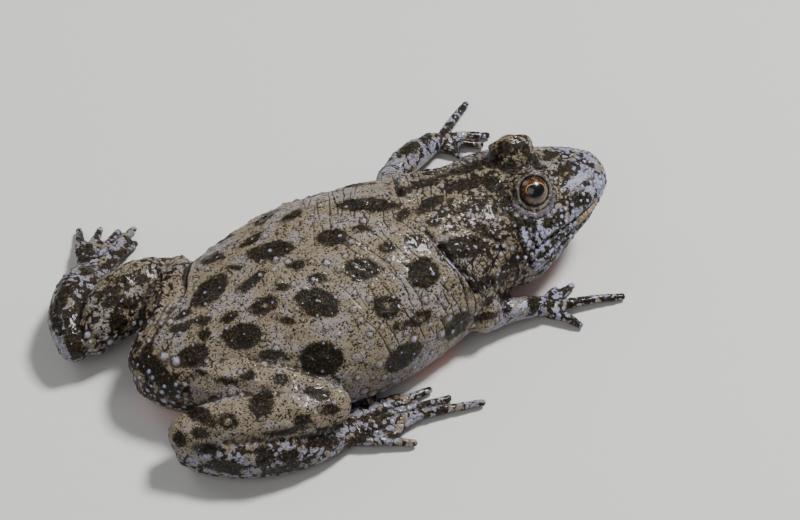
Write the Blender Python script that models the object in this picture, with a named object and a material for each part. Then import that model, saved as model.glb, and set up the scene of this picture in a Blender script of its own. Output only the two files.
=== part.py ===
"""Fire-bellied toad, life size, resting on its belly with its hind legs folded.

The toad faces +X with its back up (+Z) and its left side is +Y. It stands on z = 0, and the origin is the
centre of its box at floor level. Every size is a multiple of U, one forty-fifth of the length from snout
to vent, so that U is one millimetre at life size. Positions are first given from the vent (x = 0) on the
body's line (y = 0), and one empty moves them all to the origin.
"""

import math
import random

import bmesh
import bpy
from mathutils import Matrix, Vector
from mathutils.bvhtree import BVHTree

SNOUT_TO_VENT = 0.045
U = SNOUT_TO_VENT / 45

GAP = 0.3 * U  # room left between two pieces that meet
FLOOR = 0.0  # level of the small flats that the toad rests on

# Trunk and head, from the vent to the snout: x, centre y, half width, top z, z of the widest place,
# lowest z, roundness of the upper half and of the lower half (2 is an ellipse, more is squarer).
BODY_STATIONS = (
    (-1.2, -0.9, 1.6, 4.9, 3.4, 1.9, 2.0, 2.0),
    (0.2, -0.9, 3.5, 6.2, 3.3, 0.7, 2.1, 2.1),
    (2.4, -0.85, 5.15, 7.5, 3.3, 0.0, 2.2, 2.3),
    (5.5, -0.75, 6.8, 8.6, 3.4, -0.2, 2.2, 2.5),
    (9.0, -0.8, 8.6, 9.7, 3.5, -0.25, 2.2, 2.7),
    (13.0, -0.95, 9.8, 10.7, 3.5, -0.25, 2.2, 2.8),
    (17.0, -0.85, 10.1, 11.2, 3.5, -0.25, 2.2, 3.0),
    (21.0, -0.75, 9.6, 11.3, 3.4, -0.25, 2.2, 3.2),
    (25.0, -0.6, 8.7, 11.1, 3.6, -0.2, 2.2, 3.0),
    (28.5, -0.4, 7.8, 10.5, 4.0, 0.1, 2.2, 2.7),
    (31.5, 0.0, 6.9, 10.0, 4.2, 1.0, 2.2, 2.3),
    (34.2, 0.0, 7.15, 9.9, 4.4, 2.0, 2.2, 2.2),
    (36.8, 0.05, 6.45, 9.8, 4.9, 2.9, 2.2, 2.2),
    (39.4, 0.15, 5.2, 9.4, 5.4, 3.7, 2.2, 2.2),
    (41.6, 0.2, 4.15, 8.9, 5.9, 4.4, 2.2, 2.2),
    (43.5, 0.3, 2.95, 8.3, 6.3, 5.0, 2.1, 2.1),
    (44.8, 0.3, 1.8, 7.7, 6.5, 5.5, 2.0, 2.0),
)
BODY_SIDES = 44
NECK = (31.6, 0.0, 5.0)
NECK_LEAN = 0.16  # how far the neck's cut leans forward from floor to nape, as a slope

# Eyes: centre of the mound, with the direction that the pupil looks in.
EYES = {
    "right": ((36.35, -1.95, 9.5), (-0.1, -0.69, 0.72)),
    "left": ((37.05, 2.6, 9.45), (0.15, 0.87, 0.47)),
}
EYE_MOUND = 2.06
EYEBALL = 1.55
EYEBALL_OUT = 0.45  # eyeball's centre from the mound's, towards the pupil
EYE_OPENING = 1.38
LID_RING = 0.25
EYE_GAP = 0.2 * U

NOSTRILS = ((41.85, -0.25, 8.95), (42.0, 1.7, 8.75))
NOSTRIL = 0.3

# Line of the mouth, from the right corner round the snout to the left one: x, y, z.
MOUTH = (
    (34.9, -6.35, 7.2),
    (36.2, -5.95, 7.25),
    (38.5, -5.15, 7.05),
    (40.4, -4.35, 6.8),
    (42.3, -3.35, 6.7),
    (44.0, -1.9, 6.8),
    (44.75, 0.2, 6.85),
    (44.3, 2.2, 6.8),
    (42.7, 3.8, 6.7),
    (40.8, 4.75, 6.8),
    (38.7, 5.55, 7.05),
    (36.3, 6.25, 7.25),
    (35.0, 6.55, 7.2),
)
MOUTH_DEPTH = 0.55
MOUTH_OPENING = 0.14

# Limbs: x, y, z, half width and half height along each one.
LIMBS = {
    "thigh_right": (
        (2.6, -2.0, 4.0, 2.0, 2.3),
        (4.2, -4.2, 4.2, 2.9, 3.0),
        (6.6, -6.5, 4.3, 3.3, 3.3),
        (9.2, -8.8, 4.1, 3.1, 3.2),
        (11.5, -10.8, 3.8, 2.4, 2.6),
    ),
    "shank_right": (
        (11.8, -11.5, 4.2, 2.1, 2.2),
        (9.0, -11.2, 4.5, 2.3, 2.3),
        (5.8, -10.3, 4.5, 2.4, 2.3),
        (2.9, -9.4, 4.1, 2.2, 2.2),
        (0.6, -8.8, 3.5, 1.9, 2.1),
    ),
    "shin_foot_right": (
        (0.7, -9.4, 2.4, 1.8, 2.1),
        (3.2, -11.2, 2.5, 2.1, 2.3),
        (6.6, -12.4, 2.3, 2.2, 2.2),
        (10.2, -12.7, 1.7, 2.0, 1.7),
        (13.0, -12.2, 1.0, 1.7, 1.0),
    ),
    "thigh_left": (
        (3.6, 1.5, 4.6, 3.0, 3.3),
        (5.0, 3.6, 4.5, 2.9, 3.2),
        (6.1, 5.5, 4.3, 2.4, 2.9),
        (6.4, 7.0, 4.0, 2.0, 2.4),
    ),
    "shank_left": (
        (5.0, 7.4, 4.1, 2.4, 2.5),
        (3.0, 7.3, 4.1, 2.8, 2.9),
        (0.9, 6.8, 4.1, 2.8, 2.9),
        (-1.2, 5.9, 3.7, 2.3, 2.5),
        (-2.5, 5.2, 3.1, 1.6, 1.9),
    ),
    "shin_foot_left": (
        (-4.3, 5.4, 2.9, 1.5, 1.8),
        (-3.8, 7.6, 3.2, 1.9, 2.0),
        (-2.7, 9.7, 3.2, 1.9, 1.9),
        (-1.2, 11.6, 2.9, 1.8, 1.4),
        (0.0, 12.8, 2.4, 1.6, 0.9),
    ),
    "upper_arm_right": (
        (28.8, -4.6, 4.4, 1.8, 1.9),
        (29.0, -6.6, 3.6, 1.7, 1.8),
        (28.5, -7.6, 2.7, 1.5, 1.5),
    ),
    "forearm_right": (
        (28.7, -7.75, 2.1, 1.15, 1.35),
        (31.5, -7.5, 1.9, 1.12, 1.2),
        (34.6, -7.95, 1.3, 0.95, 0.9),
    ),
    "upper_arm_left": (
        (28.4, 5.0, 4.4, 1.7, 1.9),
        (28.4, 8.4, 3.6, 1.5, 1.6),
        (29.2, 11.2, 2.6, 1.2, 1.3),
    ),
    "forearm_left": (
        (29.4, 11.6, 2.0, 1.2, 1.3),
        (32.4, 13.2, 1.9, 1.35, 1.3),
        (35.6, 14.6, 1.3, 1.0, 0.9),
    ),
}

# Digits: each from its root to its tip as x, y, z.
DIGITS = {
    "hand_right": (
        ((35.2, -7.4, 0.8), (36.1, -6.8, 0.7), (37.0, -6.2, 0.4)),
        ((35.7, -7.8, 0.9), (37.1, -7.15, 0.75), (38.5, -6.5, 0.4)),
        ((35.8, -8.3, 0.9), (38.8, -8.8, 0.75), (41.9, -9.6, 0.4)),
        ((35.3, -8.8, 0.8), (36.2, -9.8, 0.7), (36.9, -10.8, 0.4)),
    ),
    "hand_left": (
        ((36.0, 14.2, 0.8), (36.8, 13.4, 0.7), (37.3, 12.6, 0.4)),
        ((36.6, 14.4, 0.9), (38.2, 13.7, 0.75), (39.7, 12.95, 0.4)),
        ((36.8, 14.8, 0.9), (38.8, 14.5, 0.75), (40.9, 13.8, 0.4)),
        ((36.7, 15.1, 0.9), (38.6, 16.7, 0.75), (41.1, 18.5, 0.4)),
    ),
    "foot_right": (
        ((13.0, -11.2, 1.1), (16.4, -10.9, 0.8), (19.0, -10.8, 0.45)),
        ((13.4, -11.6, 1.1), (17.6, -11.5, 0.8), (21.6, -11.3, 0.45)),
        ((13.5, -12.2, 1.0), (18.2, -12.5, 0.8), (22.6, -12.9, 0.45)),
        ((13.4, -12.8, 1.0), (19.8, -13.6, 0.8), (25.0, -14.6, 0.45)),
        ((13.0, -13.3, 0.9), (15.6, -14.7, 0.75), (17.8, -15.8, 0.45)),
    ),
    "foot_left": (
        ((1.2, 12.4, 2.2), (3.6, 14.6, 1.4), (5.5, 16.0, 0.45)),
        ((0.8, 12.6, 2.3), (3.6, 15.5, 1.5), (6.1, 17.8, 0.45)),
        ((0.3, 12.8, 2.3), (2.7, 15.8, 1.5), (4.7, 18.1, 0.45)),
        ((-0.2, 12.9, 2.3), (1.7, 16.3, 1.5), (3.3, 19.1, 0.45)),
        ((-0.6, 12.9, 2.3), (0.6, 16.6, 1.5), (1.6, 19.9, 0.45)),
    ),
}
WEB_REACH = {"foot_right": 0.6, "foot_left": 0.75}
WEB_THICK = 0.52
WEB_STEPS = 3

# Warts that stand out from a step away: how many on each piece, and how high.
WARTS = {
    "torso": 85,
    "head": 16,
    "thigh_right": 12,
    "shank_right": 14,
    "foot_right": 8,
    "thigh_left": 5,
    "shank_left": 14,
    "foot_left": 8,
    "forearm_right": 5,
    "forearm_left": 5,
}
WART_HEIGHT = 0.22
WART_SPACE = 1.5
SEED = 7

# Colours as seen in the photo, as linear red, green and blue, with roughness.
SKIN_BACK = ((0.165, 0.135, 0.098), 0.38)
SKIN_HEAD = ((0.15, 0.14, 0.13), 0.34)
SKIN_HIND = ((0.16, 0.135, 0.11), 0.38)
SKIN_FORE = ((0.17, 0.18, 0.18), 0.38)
EYE_COLOUR = ((0.09, 0.028, 0.012), 0.08)


def between(before, start, end, after, t):
    """A value on the smooth curve from start (t = 0) to end (t = 1)."""
    slope = end - before
    bend = 2 * before - 5 * start + 4 * end - after
    twist = 3 * start - before - 3 * end + after
    return 0.5 * (2 * start + slope * t + bend * t**2 + twist * t**3)


def smooth_keys(keys, steps):
    """The keys with points of a smooth curve put between them."""
    first = tuple(2 * a - b for a, b in zip(keys[0], keys[1]))
    last = tuple(2 * a - b for a, b in zip(keys[-1], keys[-2]))
    row = [first, *keys, last]
    out = []
    for i in range(1, len(row) - 2):
        for k in range(steps):
            around = zip(row[i - 1], row[i], row[i + 1], row[i + 2])
            out.append(tuple(between(*values, k / steps) for values in around))
    out.append(tuple(keys[-1]))
    return out


def signed_power(value, power):
    return math.copysign(abs(value) ** power, value)


def new_object(name, bm):
    mesh = bpy.data.meshes.new(name)
    bm.to_mesh(mesh)
    bm.free()
    obj = bpy.data.objects.new(name, mesh)
    bpy.context.scene.collection.objects.link(obj)
    return obj


def loft(name, rings):
    """One closed object through rings of points, with a fan of triangles at each end."""
    bm = bmesh.new()
    loops = []
    for ring in rings:
        verts = [bm.verts.new(Vector(p) * U) for p in ring]
        loops.append([bm.edges.new((verts[i], verts[i - 1])) for i in range(len(verts))])
    for first, second in zip(loops, loops[1:]):
        bmesh.ops.bridge_loops(bm, edges=first + second)
    for edges in (loops[0], loops[-1]):
        cap = bmesh.ops.edgeloop_fill(bm, edges=edges)
        bmesh.ops.poke(bm, faces=cap["faces"])
    bmesh.ops.recalc_face_normals(bm, faces=bm.faces)
    return new_object(name, bm)


def body_ring(station):
    x, y_centre, half, top, wide, low, upper_round, lower_round = station
    ring = []
    for i in range(BODY_SIDES):
        a = 2 * math.pi * i / BODY_SIDES
        upper = math.sin(a) >= 0
        power = 2 / (upper_round if upper else lower_round)
        height = top - wide if upper else wide - low
        across = half * signed_power(math.cos(a), power)
        ring.append((x, y_centre + across, wide + height * signed_power(math.sin(a), power)))
    return ring


def tube(name, keys, sides=12, steps=3, up=(0, 0, 1)):
    """A round-ended length through keys of x, y, z, half width and half height."""
    path = smooth_keys(keys, steps)
    points = [Vector(key[:3]) for key in path]
    last = len(path) - 1
    rings = []
    for i, key in enumerate(path):
        along = (points[min(i + 1, last)] - points[max(i - 1, 0)]).normalized()
        side = along.cross(Vector(up)).normalized()
        lift = side.cross(along)
        wide, high = key[3], key[4]
        slices = [(0.0, 1.0)]
        if i == 0:
            slices = [(-0.92, 0.4), (-0.6, 0.8), (0.0, 1.0)]
        elif i == last:
            slices = [(0.0, 1.0), (0.6, 0.8), (0.92, 0.4)]
        for shift, scale in slices:
            centre = points[i] + along * shift * min(wide, high)
            ring = []
            for k in range(sides):
                a = 2 * math.pi * k / sides
                across = side * (wide * scale * math.cos(a))
                ring.append(centre + across + lift * (high * scale * math.sin(a)))
            rings.append(ring)
    return loft(name, rings)


def ball(name, centre, radius, segments=24):
    bm = bmesh.new()
    bmesh.ops.create_uvsphere(
        bm,
        u_segments=segments,
        v_segments=segments // 2,
        radius=radius * U,
        matrix=Matrix.Translation(Vector(centre) * U),
    )
    return new_object(name, bm)


def ring_body(name, centre, axis, major, minor, around=22, across=6):
    """A closed ring of round section about an axis."""
    turn = Vector(axis).to_track_quat("Z", "Y")
    bm = bmesh.new()
    grid = []
    for i in range(around):
        a = 2 * math.pi * i / around
        row = []
        for k in range(across):
            b = 2 * math.pi * k / across
            reach = major + minor * math.cos(b)
            offset = Vector((reach * math.cos(a), reach * math.sin(a), minor * math.sin(b)))
            row.append(bm.verts.new((Vector(centre) + turn @ offset) * U))
        grid.append(row)
    for i in range(around):
        for k in range(across):
            ahead, beside = (i + 1) % around, (k + 1) % across
            bm.faces.new((grid[i][k], grid[ahead][k], grid[ahead][beside], grid[i][beside]))
    bmesh.ops.recalc_face_normals(bm, faces=bm.faces)
    return new_object(name, bm)


def apply_modifiers(obj):
    """The object's mesh as its modifiers show it, with the modifiers gone."""
    bpy.context.view_layer.update()
    shown = obj.evaluated_get(bpy.context.evaluated_depsgraph_get())
    mesh = bpy.data.meshes.new_from_object(shown)
    old = obj.data
    obj.modifiers.clear()
    obj.data = mesh
    bpy.data.meshes.remove(old)


def boolean(obj, others, operation):
    """A union with the other objects, or a cut by them, which are removed."""
    group = bpy.data.collections.new("pieces")
    bpy.context.scene.collection.children.link(group)
    for other in others:
        bpy.context.scene.collection.objects.unlink(other)
        group.objects.link(other)
        other.hide_render = True
        other.display_type = "WIRE"
    mod = obj.modifiers.new(operation.title(), "BOOLEAN")
    mod.operation = operation
    mod.solver = "EXACT"
    mod.operand_type = "COLLECTION"
    mod.collection = group
    apply_modifiers(obj)
    for other in others:
        mesh = other.data
        bpy.data.objects.remove(other, do_unlink=True)
        bpy.data.meshes.remove(mesh)
    bpy.data.collections.remove(group)
    keep_largest(obj)


def keep_largest(obj):
    """Only the largest of the closed surfaces in the object, as clean triangles."""
    bm = bmesh.new()
    bm.from_mesh(obj.data)
    bmesh.ops.remove_doubles(bm, verts=bm.verts, dist=0.01 * U)
    bmesh.ops.dissolve_degenerate(bm, edges=bm.edges, dist=0.005 * U)
    bmesh.ops.triangulate(bm, faces=bm.faces)
    left = set(bm.verts)
    islands = []
    while left:
        stack = [left.pop()]
        island = set(stack)
        while stack:
            for edge in stack.pop().link_edges:
                for vert in edge.verts:
                    if vert in left:
                        left.discard(vert)
                        island.add(vert)
                        stack.append(vert)
        islands.append(island)
    islands.sort(key=len)
    for island in islands[:-1]:
        bmesh.ops.delete(bm, geom=list(island), context="VERTS")
    bm.to_mesh(obj.data)
    bm.free()


def grown(source, distance):
    """A copy of a piece with its skin moved out, to cut its neighbours with."""
    copy = bpy.data.objects.new(source.name + "_room", source.data.copy())
    bpy.context.scene.collection.objects.link(copy)
    mod = copy.modifiers.new("Grow", "DISPLACE")
    mod.mid_level = 0
    mod.strength = distance
    apply_modifiers(copy)
    return copy


def remesh(obj, voxel, rounds, triangles):
    """One even, smoothed skin over the object, with about the number of triangles asked for."""
    mod = obj.modifiers.new("Remesh", "REMESH")
    mod.mode = "VOXEL"
    mod.voxel_size = voxel * U
    mod = obj.modifiers.new("Smooth", "SMOOTH")
    mod.iterations = rounds
    mod.factor = 0.5
    apply_modifiers(obj)
    obj.data.calc_loop_triangles()
    mod = obj.modifiers.new("Decimate", "DECIMATE")
    mod.ratio = min(1.0, triangles / len(obj.data.loop_triangles))
    apply_modifiers(obj)
    keep_largest(obj)


def cut_plane(obj, point, normal):
    """The part of the object on the far side of a plane from its normal, closed by a flat face."""
    bm = bmesh.new()
    bm.from_mesh(obj.data)
    cut = bmesh.ops.bisect_plane(
        bm,
        geom=bm.verts[:] + bm.edges[:] + bm.faces[:],
        dist=0.001 * U,
        plane_co=Vector(point) * U,
        plane_no=Vector(normal),
        clear_outer=True,
    )
    edges = [item for item in cut["geom_cut"] if isinstance(item, bmesh.types.BMEdge)]
    bmesh.ops.holes_fill(bm, edges=edges)
    bmesh.ops.triangulate(bm, faces=bm.faces)
    bm.to_mesh(obj.data)
    bm.free()
    keep_largest(obj)


def trim_floor(obj):
    cut_plane(obj, (0, 0, FLOOR), (0, 0, -1))


def duplicate(obj, name):
    copy = bpy.data.objects.new(name, obj.data.copy())
    bpy.context.scene.collection.objects.link(copy)
    return copy


def web(name, first, second, reach, steps=4):
    """A thin skin between two digits, from their roots to the share of their length given by reach."""
    first_path = smooth_keys(first, steps)
    second_path = smooth_keys(second, steps)
    rings = []
    for k in range(WEB_STEPS + 1):
        t = reach * k / WEB_STEPS
        a = sample(first_path, t)
        b = sample(second_path, t)
        middle = (sample(first_path, t * 0.82) + sample(second_path, t * 0.82)) / 2
        up, down = Vector((0, 0, WEB_THICK / 2)), Vector((0, 0, -WEB_THICK / 2))
        rings.append([a + up, middle + up, b + up, b + down, middle + down, a + down])
    return loft(name, rings)


def sample(path, t):
    place = t * (len(path) - 1)
    low = min(int(place), len(path) - 2)
    return Vector(path[low]).lerp(Vector(path[low + 1]), place - low)


def digit(name, keys, root=0.56, tip=0.36):
    wide = (root, (root + tip) / 2, tip)
    return tube(name, [(*key, w, w) for key, w in zip(keys, wide)], sides=7, steps=2)


def add_warts(obj, others, count, draw):
    """Raise single points of the upper skin into warts, clear of each other and of other pieces."""
    near = [tree_of(other) for other in others]
    bm = bmesh.new()
    bm.from_mesh(obj.data)
    bm.normal_update()
    bm.verts.ensure_lookup_table()
    order = list(range(len(bm.verts)))
    draw.shuffle(order)
    taken = []
    for index in order:
        vert = bm.verts[index]
        place = vert.co / U
        if vert.normal.z < 0.15 or place.x > 40.5 or place.z < 1.2:
            continue
        if any((place - Vector(centre)).length < EYE_MOUND + 1.0 for centre, axis in EYES.values()):
            continue
        if any((place - other).length < WART_SPACE for other in taken):
            continue
        if any(tree.find_nearest(vert.co, 0.8 * U)[0] is not None for tree in near):
            continue
        taken.append(place)
        vert.co += vert.normal * WART_HEIGHT * draw.uniform(0.6, 1.0) * U
        if len(taken) == count:
            break
    bm.to_mesh(obj.data)
    bm.free()


def tree_of(obj):
    faces = [tuple(face.vertices) for face in obj.data.polygons]
    return BVHTree.FromPolygons([vert.co for vert in obj.data.vertices], faces)


def mouth_cutter():
    """A sharp-edged strip along the line of the mouth, deepest in its middle."""
    rings = []
    for place in smooth_keys(MOUTH, 3):
        point = Vector(place)
        out = Vector((point.x - 36.0, point.y - 0.1, 0)).normalized()
        lift = Vector((0, 0, MOUTH_OPENING))
        rings.append([point + out * 0.6, point + lift, point - out * MOUTH_DEPTH, point - lift])
    return loft("mouth", rings)


def palm(name):
    """The flat of a hand, from its wrist to the roots of its fingers."""
    wrist = Vector(LIMBS["forearm_" + name[5:]][-1][:3])
    roots = DIGITS[name]
    middle = (Vector(roots[0][0]) + Vector(roots[-1][0])) / 2
    along = (middle - wrist).normalized()
    keys = (
        (*(wrist + along * 0.2), 0.9, 0.8),
        (*(wrist + along * 1.2), 1.15, 0.8),
        (*(middle + along * 0.5), 1.2, 0.65),
    )
    return tube(name, keys, sides=12)


def paint(obj, finish):
    colour, roughness = finish
    material = bpy.data.materials.new(obj.name)
    material.use_nodes = True
    shader = material.node_tree.nodes["Principled BSDF"]
    shader.inputs["Base Color"].default_value = (*colour, 1.0)
    shader.inputs["Roughness"].default_value = roughness
    shader.inputs["Metallic"].default_value = 0.0
    obj.data.materials.clear()
    obj.data.materials.append(material)


def build_core():
    """The trunk and head in one skin, with the mounds of the eyes."""
    core = loft("torso", [body_ring(station) for station in smooth_keys(BODY_STATIONS, 3)])
    mounds = []
    for side, (centre, axis) in EYES.items():
        mounds.append(ball("mound_" + side, centre, EYE_MOUND))
    boolean(core, mounds, "UNION")
    remesh(core, 0.4, 6, 5600)
    return core


for old in list(bpy.data.objects):
    bpy.data.objects.remove(old, do_unlink=True)

draw = random.Random(SEED)
torso = build_core()
room = grown(torso, GAP)
head = duplicate(torso, "head")

lean = Vector((-1, 0, NECK_LEAN)).normalized()
half_gap = Vector((GAP / U / 2, 0, 0))
cut_plane(torso, Vector(NECK) - half_gap, -lean)
cut_plane(head, Vector(NECK) + half_gap, lean)
trim_floor(torso)
built = {"torso": torso, "head": head}

cutters = [mouth_cutter()]
for side, (centre, axis) in EYES.items():
    direction = Vector(axis).normalized()
    ball_centre = Vector(centre) + direction * EYEBALL_OUT
    built["eye_" + side] = ball("eye_" + side, ball_centre, EYEBALL, 20)
    rim = ball_centre + direction * math.sqrt(EYEBALL**2 - EYE_OPENING**2)
    boolean(head, [ring_body("lid_" + side, rim, axis, EYE_OPENING + LID_RING, LID_RING)], "UNION")
    cutters.append(ball("socket_" + side, ball_centre, EYEBALL + EYE_GAP / U, 20))
for n, place in enumerate(NOSTRILS):
    cutters.append(ball(f"nostril_{n}", place, NOSTRIL, 8))
for cutter in cutters:
    boolean(head, [cutter], "DIFFERENCE")

# Each limb is cut to fit the body, then its own upper lengths.
ABOVE = {
    "thigh_right": [],
    "shank_right": ["thigh_right"],
    "foot_right": ["thigh_right", "shank_right"],
    "thigh_left": [],
    "shank_left": ["thigh_left"],
    "foot_left": ["thigh_left", "shank_left"],
    "upper_arm_right": [],
    "forearm_right": ["upper_arm_right"],
    "hand_right": ["forearm_right"],
    "upper_arm_left": [],
    "forearm_left": ["upper_arm_left"],
    "hand_left": ["forearm_left"],
}
for name, above in ABOVE.items():
    if name.startswith("hand"):
        piece = palm(name)
    elif name.startswith("foot"):
        piece = tube(name, LIMBS["shin_" + name])
    elif name.startswith("upper_arm"):
        piece = tube(name, LIMBS[name], up=(1, 0, 0))
    else:
        piece = tube(name, LIMBS[name])
    if name in DIGITS:
        digits = DIGITS[name]
        extra = [digit(f"{name}_digit_{n}", keys) for n, keys in enumerate(digits)]
        if name in WEB_REACH:
            for n in range(len(digits) - 1):
                extra.append(web(f"{name}_web_{n}", digits[n], digits[n + 1], WEB_REACH[name]))
        boolean(piece, extra, "UNION")
    for other in above:
        boolean(piece, [grown(built[other], GAP)], "DIFFERENCE")
    boolean(piece, [duplicate(room, name + "_body_room")], "DIFFERENCE")
    trim_floor(piece)
    built[name] = piece
bpy.data.objects.remove(room, do_unlink=True)
for name, count in WARTS.items():
    add_warts(built[name], [piece for other, piece in built.items() if other != name], count, draw)

corners = [vert.co for piece in built.values() for vert in piece.data.vertices]
middle = [(min(c[k] for c in corners) + max(c[k] for c in corners)) / 2 for k in range(2)]
toad = bpy.data.objects.new("toad", None)
toad.empty_display_size = 10 * U
toad.location = (-middle[0], -middle[1], -min(c[2] for c in corners))
bpy.context.scene.collection.objects.link(toad)
for name, piece in built.items():
    piece.parent = toad
    if name == "torso":
        paint(piece, SKIN_BACK)
    elif name == "head":
        paint(piece, SKIN_HEAD)
    elif name.startswith("eye"):
        paint(piece, EYE_COLOUR)
    elif name.startswith(("thigh", "shank", "foot")):
        paint(piece, SKIN_HIND)
    else:
        paint(piece, SKIN_FORE)
    for face in piece.data.polygons:
        face.use_smooth = True
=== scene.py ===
"""Fire-bellied toad, life size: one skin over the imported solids, with two wet eyes.

Places on the animal are given in millimetres from its vent, with x towards the snout, y to its left and z
up from the ground. The frame says where the vent is: each eyeball is a solid of its own, at a known place.
"""

import itertools
import logging
import math
import random
from dataclasses import dataclass, field, replace
from enum import Enum

import bmesh
import bpy
import numpy as np
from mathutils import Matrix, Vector, kdtree, noise
from mathutils.bvhtree import BVHTree


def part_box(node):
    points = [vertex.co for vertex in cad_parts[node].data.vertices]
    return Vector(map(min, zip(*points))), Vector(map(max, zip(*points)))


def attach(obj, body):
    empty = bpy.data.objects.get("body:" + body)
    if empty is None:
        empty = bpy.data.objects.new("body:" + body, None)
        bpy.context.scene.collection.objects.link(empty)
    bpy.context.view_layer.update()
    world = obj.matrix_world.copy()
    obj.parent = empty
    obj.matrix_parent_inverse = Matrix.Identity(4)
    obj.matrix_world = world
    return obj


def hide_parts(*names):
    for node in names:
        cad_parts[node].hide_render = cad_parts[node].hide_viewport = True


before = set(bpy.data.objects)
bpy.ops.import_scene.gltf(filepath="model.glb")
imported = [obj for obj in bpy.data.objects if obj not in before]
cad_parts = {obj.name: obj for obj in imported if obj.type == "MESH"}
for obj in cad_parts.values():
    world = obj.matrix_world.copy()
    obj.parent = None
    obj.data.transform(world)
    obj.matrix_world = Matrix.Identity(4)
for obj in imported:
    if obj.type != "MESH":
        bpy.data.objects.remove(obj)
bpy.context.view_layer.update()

log = logging.getLogger("toad")

MM = 0.001
NOISE_ROUGHNESS = 0.55
EYE_NODES = ("eye_right", "eye_left")
# The middle of the right eyeball, in millimetres from the vent.
EYEBALL_FROM_VENT = Vector((36.305, -2.26, 9.823))
# The direction from the animal to the camera.
TO_CAMERA = (-0.304, -0.596, 0.743)
# What stands for the distance of any place that isn't near an eye, in millimetres.
NOT_NEAR = 9.0

Colour = tuple[float, float, float]
Place = tuple[float, float, float]
Socket = bpy.types.NodeSocket


def middle_of(node: str) -> Vector:
    """The centre of a solid's box, in metres."""
    low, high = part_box(node)
    return (low + high) / 2


VENT = middle_of("eye_right") - EYEBALL_FROM_VENT * MM


def to_frame(place: Place) -> Vector:
    """A place on the animal, in metres in the frame."""
    return VENT + Vector(place) * MM


def on_animal(node: str) -> np.ndarray:
    """The centre of a solid's box, in millimetres from the vent."""
    return np.array((middle_of(node) - VENT) / MM)


def smooth_line(places: tuple[Place, ...], steps: int) -> np.ndarray:
    """A smooth curve through places on the animal.

    Args:
        places: The places that the curve runs through, in order.
        steps: How many points to put between one place and the next.

    Returns:
        The curve's points, one in each row, in millimetres.
    """
    keys = np.array(places, float)
    row = np.vstack([2 * keys[0] - keys[1], keys, 2 * keys[-1] - keys[-2]])
    points = []
    for i in range(1, len(row) - 2):
        before, start, end, after = row[i - 1 : i + 3]
        for step in range(steps):
            t = step / steps
            slope = end - before
            bend = 2 * before - 5 * start + 4 * end - after
            twist = 3 * start - before - 3 * end + after
            points.append(0.5 * (2 * start + slope * t + bend * t**2 + twist * t**3))
    points.append(keys[-1])
    return np.array(points)


def distance_to_line(points: np.ndarray, line: np.ndarray) -> np.ndarray:
    """How far points are from a line.

    Args:
        points: The points, one in each row.
        line: The line's own points in order, in the same units.

    Returns:
        Each point's distance from the nearest stretch of the line.
    """
    best = np.full(len(points), np.inf)
    for start, end in zip(line, line[1:]):
        along = end - start
        share = np.clip((points - start) @ along / max(along @ along, 1e-9), 0, 1)
        best = np.minimum(best, np.linalg.norm(points - start - share[:, None] * along, axis=1))
    return best


def fade(values: np.ndarray, low: float, high: float) -> np.ndarray:
    """0 at low, 1 at high and a soft step between them; low may be the larger one."""
    t = np.clip((values - low) / (high - low), 0, 1)
    return t * t * (3 - 2 * t)


def hill(distance: np.ndarray, width: float) -> np.ndarray:
    """A smooth hump, 1 at no distance and nearly 0 at twice the width."""
    return np.exp(-((distance / width) ** 2))


class Surface:
    """One mesh's points, normals and edges as arrays, in millimetres from the vent."""

    def __init__(self, mesh: bpy.types.Mesh) -> None:
        """Read the mesh.

        Args:
            mesh: The mesh, whose points are in metres in the frame.
        """
        self.mesh = mesh
        flat = np.empty(len(mesh.vertices) * 3, np.float32)
        mesh.vertices.foreach_get("co", flat)
        self.points = (flat.reshape(-1, 3).astype(float) - np.array(VENT)) / MM
        pairs = np.empty(len(mesh.edges) * 2, np.int32)
        mesh.edges.foreach_get("vertices", pairs)
        self.edges = pairs.reshape(-1, 2)
        self.degree = np.maximum(np.bincount(self.edges.ravel(), minlength=len(self.points)), 1)
        self.normals = self.read_normals()

    def read_normals(self) -> np.ndarray:
        """Read the mesh's present normals.

        Returns:
            Each point's normal, one in each row.
        """
        flat = np.empty(len(self.mesh.vertices) * 3, np.float32)
        self.mesh.vertex_normals.foreach_get("vector", flat)
        return flat.reshape(-1, 3).astype(float)

    def settle(self) -> None:
        """Write the points to the mesh and read its new normals."""
        flat = (self.points * MM + np.array(VENT)).astype(np.float32).ravel()
        self.mesh.vertices.foreach_set("co", flat)
        self.mesh.update()
        self.normals = self.read_normals()

    def push(self, distance: np.ndarray) -> None:
        """Move the points along their normals by distances in millimetres."""
        self.points += self.normals * distance[:, None]
        self.settle()

    def spread(self, values: np.ndarray, rounds: int) -> np.ndarray:
        """Even out values between neighbouring points.

        Args:
            values: One number, or one row of numbers, for each point.
            rounds: How many times each point takes half of its neighbours' mean.

        Returns:
            The evened values.
        """
        first, second = self.edges.T
        columns = values.reshape(len(values), -1).astype(float)
        for _ in range(rounds):
            for k in range(columns.shape[1]):
                column = columns[:, k]
                total = np.bincount(first, column[second], len(column))
                total += np.bincount(second, column[first], len(column))
                columns[:, k] = 0.5 * column + 0.5 * total / self.degree
        return columns.reshape(values.shape)

    def nearest(self, place: Place) -> int:
        """The number of the point nearest to a place."""
        return int(np.argmin(((self.points - np.array(place)) ** 2).sum(axis=1)))

    def distance_from(self, place: Place) -> np.ndarray:
        """How far each point is from the point nearest to a place."""
        return np.linalg.norm(self.points - self.points[self.nearest(place)], axis=1)

    def hollows(self, rounds: int) -> np.ndarray:
        """How far each point lies below its surroundings, in millimetres."""
        return ((self.spread(self.points, rounds) - self.points) * self.normals).sum(axis=1)

    def keep(self, name: str, values: np.ndarray) -> None:
        """Store one number for each point as an attribute that the material reads."""
        layer = self.mesh.attributes.new(name, "FLOAT", "POINT")
        layer.data.foreach_set("value", values.astype(np.float32))


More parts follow.
